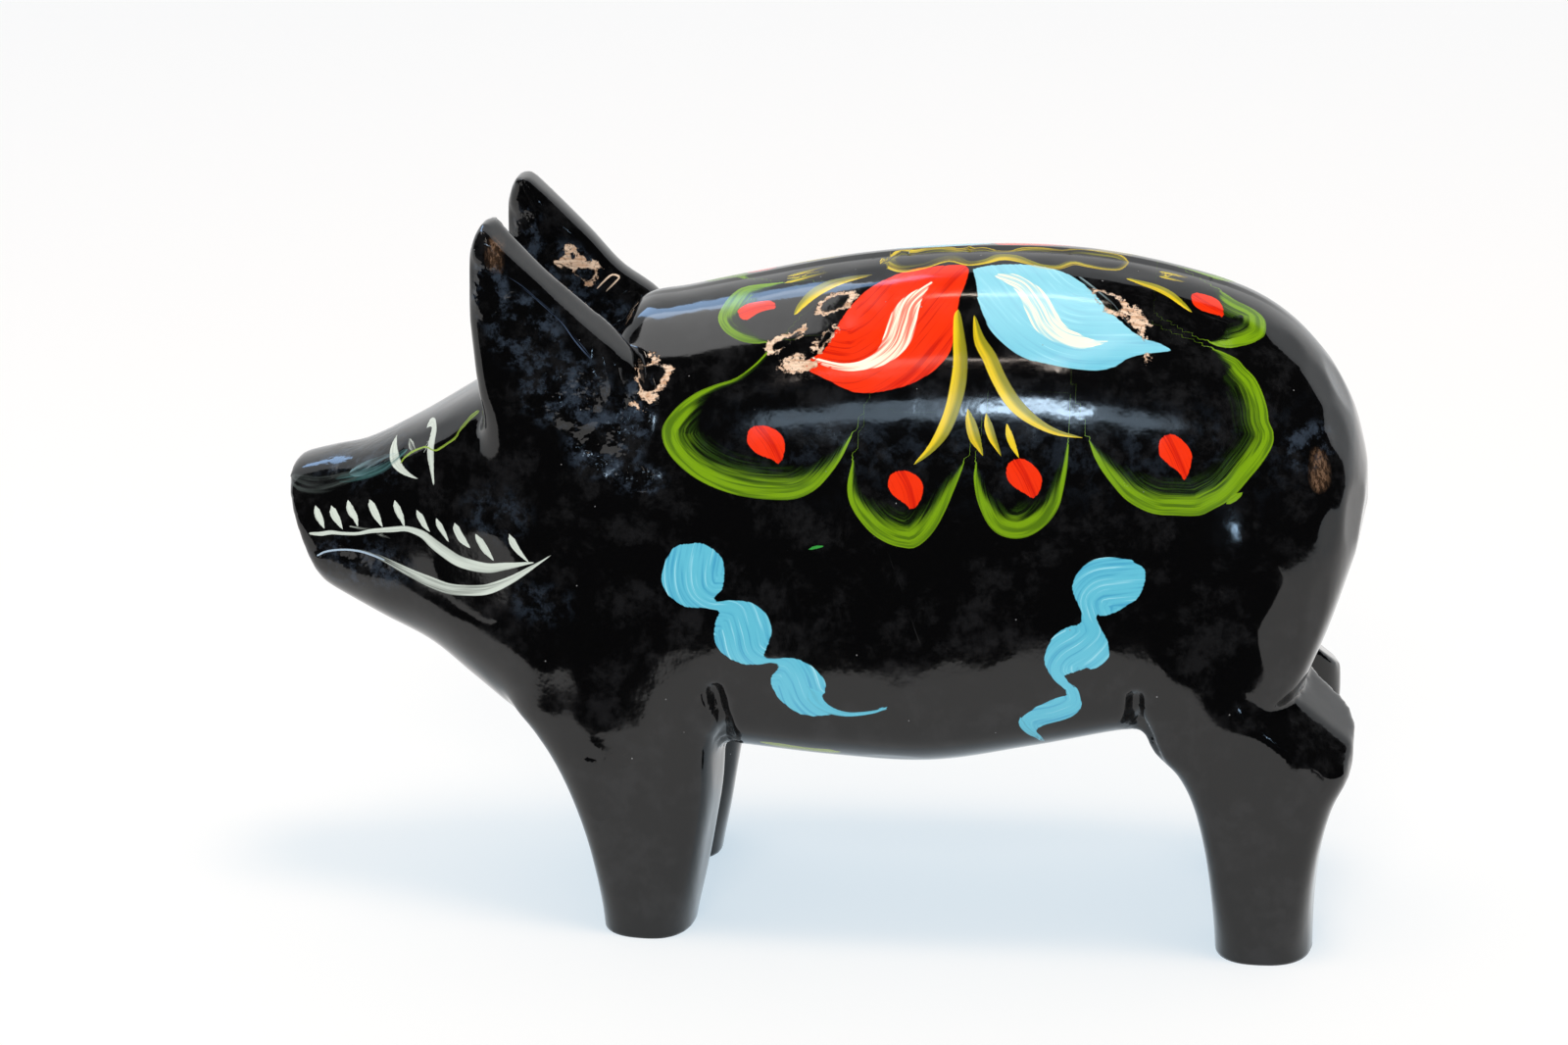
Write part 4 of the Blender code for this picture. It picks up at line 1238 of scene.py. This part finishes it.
def paint_lines(piece, charts, name, lines):
    """Thin strokes of any colour. Stores the place across as a share of the half width, the
    place along, and the share of that width that the brush leaves, negative off the stroke,
    and its colour and load."""
    field = Field(piece, FAR, 0.0, -FAR, 0.0, 0.0, 0.0, 0.0)
    strokes = [(*line[:3], stroke) for line in lines for stroke in line[3]]
    for tone, where, (load, last_load), stroke in strokes:
        for chart, mask, rows in copies(charts, where, stroke, 3):
            line = lengthened(spline(rows, CURVE_STEPS))
            index = close_by(chart, mask, line, MARGIN)
            near = Near(chart[index], line)
            half = near.value(line[:, 2])
            wide = np.maximum(half, MIN_HALF_WIDTH)
            outside = near.distance - wide
            left = half / wide - np.clip((outside - FADE_FROM) / FADE_OVER, 0, 5)
            share = np.clip((near.along - LEAD) / (near.total - 2 * LEAD), 0, 1)
            place_and_width = (near.across / wide, near.along, left)
            shade = (*LINE_COLOURS[tone][:3], load + (last_load - load) * share)
            field.take(index, outside - np.minimum(half, 0), *place_and_width, *shade)
    store(piece, name, "FLOAT_VECTOR", field.values[:, :3])
    store(piece, name + "_colour", "FLOAT_COLOR", field.values[:, 3:])


class Graph:
    """Adds nodes to a material's tree and joins them up."""

    def __init__(self, material):
        material.use_nodes = True
        self.tree = material.node_tree
        self.shader = self.tree.nodes["Principled BSDF"]
        self.seed = 0.0

    def feed(self, socket, value):
        if isinstance(value, bpy.types.NodeSocket):
            self.tree.links.new(value, socket)
        else:
            socket.default_value = value

    def node(self, kind, output=0, inputs=None, **settings):
        made = self.tree.nodes.new(kind)
        for key, value in settings.items():
            setattr(made, key, value)
        for key, value in (inputs or {}).items():
            self.feed(made.inputs[key], value)
        return made.outputs[output]

    def math(self, operation, *values):
        return self.node("ShaderNodeMath", inputs=dict(enumerate(values)), operation=operation)

    def times(self, a, b):
        return self.math("MULTIPLY", a, b)

    def plus(self, a, b):
        return self.math("ADD", a, b)

    def step(self, value, low, high, to_low=0.0, to_high=1.0):
        """to_low up to low, to_high from high on, and smooth between them. Where the value is
        noise, low and high set how much of a surface has the streak, cloud or flake."""
        inputs = dict(enumerate((value, low, high, to_low, to_high)))
        return self.node("ShaderNodeMapRange", "Result", inputs, interpolation_type="SMOOTHSTEP")

    def wavered(self, value, noise, amount):
        """A value pushed up and down by noise, by half the amount each way."""
        return self.plus(value, self.times(self.plus(noise, -0.5), amount))

    def combine(self, x, y, z):
        return self.node("ShaderNodeCombineXYZ", inputs={"X": x, "Y": y, "Z": z})

    def split(self, vector):
        made = self.node("ShaderNodeSeparateXYZ", inputs={0: vector})
        return made.node.outputs[:3]

    def noise(self, vector, scale, detail=2.0, roughness=0.5):
        inputs = {"Vector": vector, "Scale": scale, "Detail": detail, "Roughness": roughness}
        return self.node("ShaderNodeTexNoise", "Fac", inputs)

    def grain(self, vector, scales, roughness):
        """Noise drawn out along an axis."""
        drawn = self.node("ShaderNodeMapping", inputs={0: vector, 3: scales})
        return self.noise(drawn, 1.0, 4.0, roughness)

    def attribute(self, name, output="Vector"):
        return self.node("ShaderNodeAttribute", output, attribute_name=name)

    def mix(self, share, below, above):
        made = self.node("ShaderNodeMix", data_type="RGBA", inputs={"Factor": share})
        self.feed(made.node.inputs[6], below)
        self.feed(made.node.inputs[7], above)
        return made.node.outputs[2]

    def streaks(self, across, along, fineness, detail=2.0):
        """Noise drawn out along a stroke, 0 to 1. fineness is in streaks per millimetre."""
        self.seed += STREAKS_APART
        across = self.times(across, fineness)
        flow = self.combine(across, self.times(along, STREAKS_ALONG), self.seed)
        return self.noise(flow, 1.0, detail, STREAK_ROUGHNESS)


def petal_share(g, name):
    """How much green covers the lacquer, and its colour: crisp and bright along the outer edge,
    and combed out into dark hair lines further in."""
    depth, along, width = g.split(g.attribute(name))
    fineness, waver = PETAL_BRUSH
    streak = g.streaks(depth, along, fineness)
    hair = g.streaks(depth, along, PETAL_HAIRS, 1.0)
    crisp = g.step(g.wavered(depth, streak, waver), *PETAL_EDGE)
    inward = g.wavered(g.math("DIVIDE", depth, width), streak, PETAL_SWAY)
    combed = g.times(g.step(hair, *HAIR_LINES), g.step(inward, *PETAL_COMBED))
    share = g.times(crisp, g.step(inward, *PETAL_END))
    share = g.times(share, g.math("SUBTRACT", 1.0, combed))
    shaded = g.step(g.plus(streak, g.times(hair, HAIR_SHADE)), *LIME_STREAKS)
    tone = g.mix(shaded, LIME, LIME_SHADE)
    return share, g.mix(g.step(inward, *PETAL_DARK), tone, MOSS_GREEN)


def shape_share(g, name, fineness, waver):
    """How much a filled shape covers, and its streaks."""
    outside, across, along = g.split(g.attribute(name))
    streak = g.streaks(across, along, fineness)
    return g.step(g.wavered(outside, streak, waver), *SHAPE_EDGE), streak


def line_share(g, name):
    """How much a thin stroke covers, its colour, its streaks, and its place across."""
    across, along, left = g.split(g.attribute(name))
    tint = g.attribute(name + "_colour", "Color")
    load = tint.node.outputs["Alpha"]
    fineness, waver = LINE_BRUSH
    streak = g.streaks(across, along, fineness)
    outside = g.math("SUBTRACT", g.math("ABSOLUTE", across), left)
    crisp = g.step(g.wavered(outside, streak, waver), *LINE_EDGE)
    loaded = g.plus(g.times(load, DRY_BY_LOAD), g.times(streak, DRY_BY_STREAK))
    return g.times(crisp, g.step(loaded, *LINE_DRY)), tint, streak, across


def bare_share(g, spot):
    """How much bare wood shows. The edges of the chips break up into flakes and islands of
    lacquer."""
    ragged = g.plus(g.noise(spot, *CHIPPING), -0.5)
    flakes = g.noise(spot, *FLAKES)
    outside, _, _ = g.split(g.attribute("chips"))
    hole, _, _ = g.split(g.attribute("chip_holes"))
    edge = g.plus(g.plus(outside, g.times(ragged, CHIP_SWAY)), CHIP_INSET)
    hole = g.plus(hole, g.times(ragged, HOLE_SWAY))
    bare = g.times(g.step(edge, *CHIP_EDGE), g.step(hole, *HOLE_EDGE))
    islands = g.times(g.step(flakes, *FLAKE_SHARE), g.step(edge, *ISLANDS))
    return g.times(bare, g.math("SUBTRACT", 1.0, islands))


def ornament(g, surface, spot):
    """The surface with the ornament painted on it, with the painted reflections, glint and sheen
    among its strokes, and how much paint there is.
    """
    paint = 0.0
    for name in PETALS:
        share, tone = petal_share(g, name)
        surface = g.mix(share, surface, tone)
        paint = g.math("MAXIMUM", paint, share)
    for name, tone, shade in (("red", RED, RED_SHADE), ("blue", SKY, SKY_SHADE)):
        share, streak = shape_share(g, name, *LEAF_BRUSH)
        tone = g.mix(g.step(streak, *DARK_STREAKS), tone, shade)
        if name == "blue":
            tone = g.mix(g.step(streak, *LIGHT_STREAKS), tone, SKY_LIGHT)
            # Painted sheen: the blue turns paler higher up the back, where the lights catch it
            _, _, level = g.split(spot)
            tone = g.mix(g.step(level, *BLUE_PAINTED_SHEEN_LEVELS), tone, SKY_LIGHT)
        surface = g.mix(share, surface, tone)
        paint = g.math("MAXIMUM", paint, g.times(share, SHAPE_PAINT))
    share, streak = shape_share(g, "cream", *CREAM_BRUSH)
    share = g.times(share, g.step(streak, *CREAM_DRY))
    surface = g.mix(share, surface, CREAM)
    for name in LINES:
        share, tint, streak, across = line_share(g, name)
        if name in TWO_TONED:
            tint = g.mix(g.step(across, *OLIVE_SIDE), tint, OLIVE)
        tint = g.mix(g.times(g.step(streak, *LINE_STREAKS), STREAK_DEPTH), tint, BLACK)
        surface = g.mix(share, surface, tint)
        paint = g.math("MAXIMUM", paint, share)
    return surface, paint


def dust_share(g, spot):
    """A few grains of dust under the last coat: one in four of the cells has one."""
    inputs = {"Vector": spot, "Scale": DUST_CELLS}
    grains = g.node("ShaderNodeTexVoronoi", "Distance", inputs)
    kept = g.step(g.split(grains.node.outputs["Color"])[0], *DUST_KEPT)
    return g.times(g.step(grains, *DUST_SIZE), kept)


def bare_wood(g, spot):
    """The colour of bare wood: grain along the pig, and dirt."""
    wood = g.mix(g.step(g.grain(spot, *WOOD_GRAIN), *FIBRES), WOOD, WOOD_SHADE)
    return g.mix(g.step(g.noise(spot, *DIRT), *DIRT_SHARE), wood, WOOD_DIRT)


def lacquer():
    """Black gloss lacquer with the painted ornament, bare wood in the chips, and a painted bluish
    reflection in the scuffed, hammered spots.
    """
    material = bpy.data.materials.new("black_lacquer")
    g = Graph(material)
    spot = g.node("ShaderNodeTexCoord", "Object")
    spot = g.node("ShaderNodeVectorMath", inputs={0: spot, 3: 1 / MM}, operation="SCALE")
    rough_and_reflection = g.attribute("rough_and_reflection", "Fac")
    cloudy = g.noise(spot, *CLOUDS)
    surface = g.mix(g.step(cloudy, *FILM_SHARE), BLACK, FILM)
    # Painted reflection: in blotches over the scuffed, hammered spots the black turns bluish, which
    # stands for the glints of the lights there
    blotch = g.noise(spot, *BLOTCHES)
    haze_and_reflection = g.math("MINIMUM", g.times(rough_and_reflection, HAZE_AND_REFLECTION_GAIN), 1.0)
    haze_and_reflection = g.times(haze_and_reflection, g.step(blotch, *HAZE_AND_REFLECTION_SHARE))
    surface = g.mix(haze_and_reflection, surface, HAZE_AND_REFLECTION_TINT)
    surface, paint = ornament(g, surface, spot)
    worn, _, _ = g.split(g.attribute("worn"))
    scraped = g.grain(spot, *SCRAPES)
    worn = g.times(g.step(worn, *WORN_EDGE), g.step(scraped, *WORN_STREAKS))
    surface = g.mix(worn, surface, WORN_BROWN)
    surface = g.mix(dust_share(g, spot), surface, DUST)
    bare = bare_share(g, spot)
    g.feed(g.shader.inputs["Base Color"], g.mix(bare, surface, bare_wood(g, spot)))

    roughness = g.plus(g.times(paint, PAINT_ROUGHNESS), g.times(worn, WORN_ROUGHNESS))
    roughness = g.plus(roughness, g.times(haze_and_reflection, HAZE_ROUGHNESS))
    roughness = g.plus(roughness, g.step(cloudy, *FILM_ROUGH))
    roughness = g.plus(roughness, LACQUER_ROUGHNESS)
    roughness = g.plus(roughness, g.times(bare, WOOD_ROUGHNESS))
    g.feed(g.shader.inputs["Roughness"], roughness)

    wave = g.times(g.noise(spot, *WAVES), WAVE_DEPTH)
    peel = g.times(g.noise(spot, *PEEL), PEEL_DEPTH)
    hammered = g.times(g.noise(spot, *HAMMERING), g.times(rough_and_reflection, rough_and_reflection))
    height = g.plus(g.plus(wave, peel), g.times(hammered, HAMMERED_DEPTH))
    height = g.plus(height, g.times(bare, -CHIP_DEPTH))
    bump = g.node("ShaderNodeBump", "Normal", {"Strength": 1.0, "Distance": MM, "Height": height})
    g.feed(g.shader.inputs["Normal"], bump)
    return material


def roughened(points):
    """How rough and hammered the lacquer is at each point, which also sets how much painted bluish
    reflection tints it there.
    """
    rough_and_reflection = np.zeros(len(points))
    for x, z, half_x, half_z, share in ROUGH_AND_REFLECTION_SPOTS:
        far = ((points[:, 0] - x) / half_x) ** 2 + ((points[:, 2] - z) / half_z) ** 2
        rough_and_reflection = np.maximum(rough_and_reflection, share * (1 - ramp(far, *ROUGH_EDGE)))
    level, spread, share, start, end = ROUGH_AND_REFLECTION_BAND
    band = np.exp(-(((points[:, 2] - level) / spread) ** 2))
    band *= window(points[:, 0], start, end)
    return np.maximum(rough_and_reflection, share * band)


def paint(piece):
    """Puts the fields of every stroke on the mesh."""
    charts = flat_charts(places(piece))
    for name, petals in PETALS.items():
        paint_petals(piece, charts, name, petals)
    for name, shapes in SHAPES.items():
        paint_shapes(piece, charts, name, shapes)
    for name, lines in LINES.items():
        paint_lines(piece, charts, name, lines)
    store(piece, "rough_and_reflection", "FLOAT", roughened(places(piece)))


def linked(name, data):
    """A new object in the scene."""
    made = bpy.data.objects.new(name, data)
    bpy.context.scene.collection.objects.link(made)
    return made


def aimed(made, place_m, direction):
    """Puts a camera or a light at a place, facing along a direction."""
    made.location = place_m
    made.rotation_mode = "QUATERNION"
    made.rotation_quaternion = direction.to_track_quat("-Z", "Y")
    return made


def camera():
    azimuth = math.radians(CAMERA_AZIMUTH)
    elevation = math.radians(CAMERA_ELEVATION)
    level = Vector((math.sin(azimuth), -math.cos(azimuth), 0)) * math.cos(elevation)
    back = level + Vector((0, 0, math.sin(elevation)))
    data = bpy.data.cameras.new("camera")
    data.lens = CAMERA_LENS
    data.sensor_width = SENSOR_WIDTH
    data.clip_start, data.clip_end = CLIP_RANGE
    place_m = (Vector(CAMERA_TARGET) + back * CAMERA_DISTANCE) * MM
    bpy.context.scene.camera = aimed(linked("camera", data), place_m, -back)


def flat_material(name, roughness, glow, back_glow=None):
    """Pale paper or table top, whose glow stands for the light in a white room."""
    material = bpy.data.materials.new(name)
    g = Graph(material)
    g.feed(g.shader.inputs["Base Color"], (*TABLE_ALBEDO, 1))
    g.feed(g.shader.inputs["Roughness"], roughness)
    g.feed(g.shader.inputs["Specular IOR Level"], TABLE_SHEEN)
    g.feed(g.shader.inputs["Emission Color"], (*glow, 1))
    g.feed(g.shader.inputs["Emission Strength"], 1.0)
    if back_glow:
        _, y, _ = g.split(g.node("ShaderNodeTexCoord", "Object"))
        shade = g.mix(g.step(y, *BACK_FROM), (*glow, 1), (*back_glow, 1))
        g.feed(g.shader.inputs["Emission Color"], shade)
    return material


def sheet(name, corners, material):
    data = bpy.data.meshes.new(name)
    data.from_pydata(corners, [], [tuple(range(len(corners)))])
    data.materials.append(material)
    made = linked(name, data)
    return made


def stage():
    """A pale table and paper. The table in front of the pig doesn't show in the lacquer."""
    table = flat_material("pale_table", TABLE_ROUGHNESS, TABLE_GLOW, BACK_GLOW)
    paper = flat_material("pale_paper", PAPER_ROUGHNESS, BACK_GLOW)
    near, far, side = TABLE_SIZE
    edge = [(x * MM, y * MM, 0) for x, y in TABLE_EDGE]
    edge = [(-side, edge[0][1], 0), *edge, (side, edge[-1][1], 0)]
    front = sheet("table_front", [(-side, near, 0), (side, near, 0), *reversed(edge)], table)
    front.visible_glossy = False
    sheet("table", [*edge, (side, far, 0), (-side, far, 0)], table)
    top = [(side, far, PAPER_HEIGHT), (-side, far, PAPER_HEIGHT)]
    sheet("paper", [(-side, far, 0), (side, far, 0), *top], paper)


def panel(name, place_m, size_m, radiance, colour, glossy, diffuse):
    """A rectangular light that faces the pig. radiance is how bright it looks from there."""
    data = bpy.data.lights.new(name, "AREA")
    data.shape = "RECTANGLE"
    data.size, data.size_y = size_m
    data.energy = radiance * math.pi * size_m[0] * size_m[1]
    data.color = colour
    made = aimed(linked(name, data), place_m, Vector(PIG_MIDDLE) - Vector(place_m))
    made.visible_glossy = glossy
    made.visible_diffuse = diffuse
    return made


def tube(name, start_m, end_m, width_m, radiance, colour):
    """A long thin light between two points, facing the pig."""
    start, end = Vector(start_m), Vector(end_m)
    middle = (start + end) / 2
    along = (end - start).normalized()
    made = panel(name, middle, ((end - start).length, width_m), radiance, colour, True, False)
    back = (middle - Vector(PIG_MIDDLE)).normalized()
    side = back.cross(along).normalized()
    along = side.cross(back)
    made.rotation_quaternion = Matrix((along, side, back)).transposed().to_quaternion()


def lights():
    world = bpy.data.worlds.new("room")
    world.use_nodes = True
    background = world.node_tree.nodes["Background"]
    background.inputs["Color"].default_value = (*ROOM_COLOUR, 1)
    background.inputs["Strength"].default_value = ROOM_STRENGTH
    world.cycles_visibility.glossy = False
    bpy.context.scene.world = world
    for row in PANELS:
        panel(*row)
    for row in TUBES:
        tube(*row)
    panel(*CEILING_PANEL).rotation_quaternion = (1, 0, 0, 0)
    tube(*WINDOW)


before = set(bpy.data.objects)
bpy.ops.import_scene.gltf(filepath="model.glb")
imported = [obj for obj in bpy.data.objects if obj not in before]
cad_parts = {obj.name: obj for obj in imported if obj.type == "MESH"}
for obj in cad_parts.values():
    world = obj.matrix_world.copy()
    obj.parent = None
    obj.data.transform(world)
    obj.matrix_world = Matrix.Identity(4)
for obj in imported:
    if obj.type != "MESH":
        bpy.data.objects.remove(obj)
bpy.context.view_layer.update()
camera()
stage()
lights()
pig = carve_pig()
centre_on_ground(pig)
paint(pig)
pig.data.materials.append(lacquer())
pig.data.shade_smooth()
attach(pig, "root")
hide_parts("wooden_pig")
bpy.context.scene.view_settings.view_transform = "Standard"
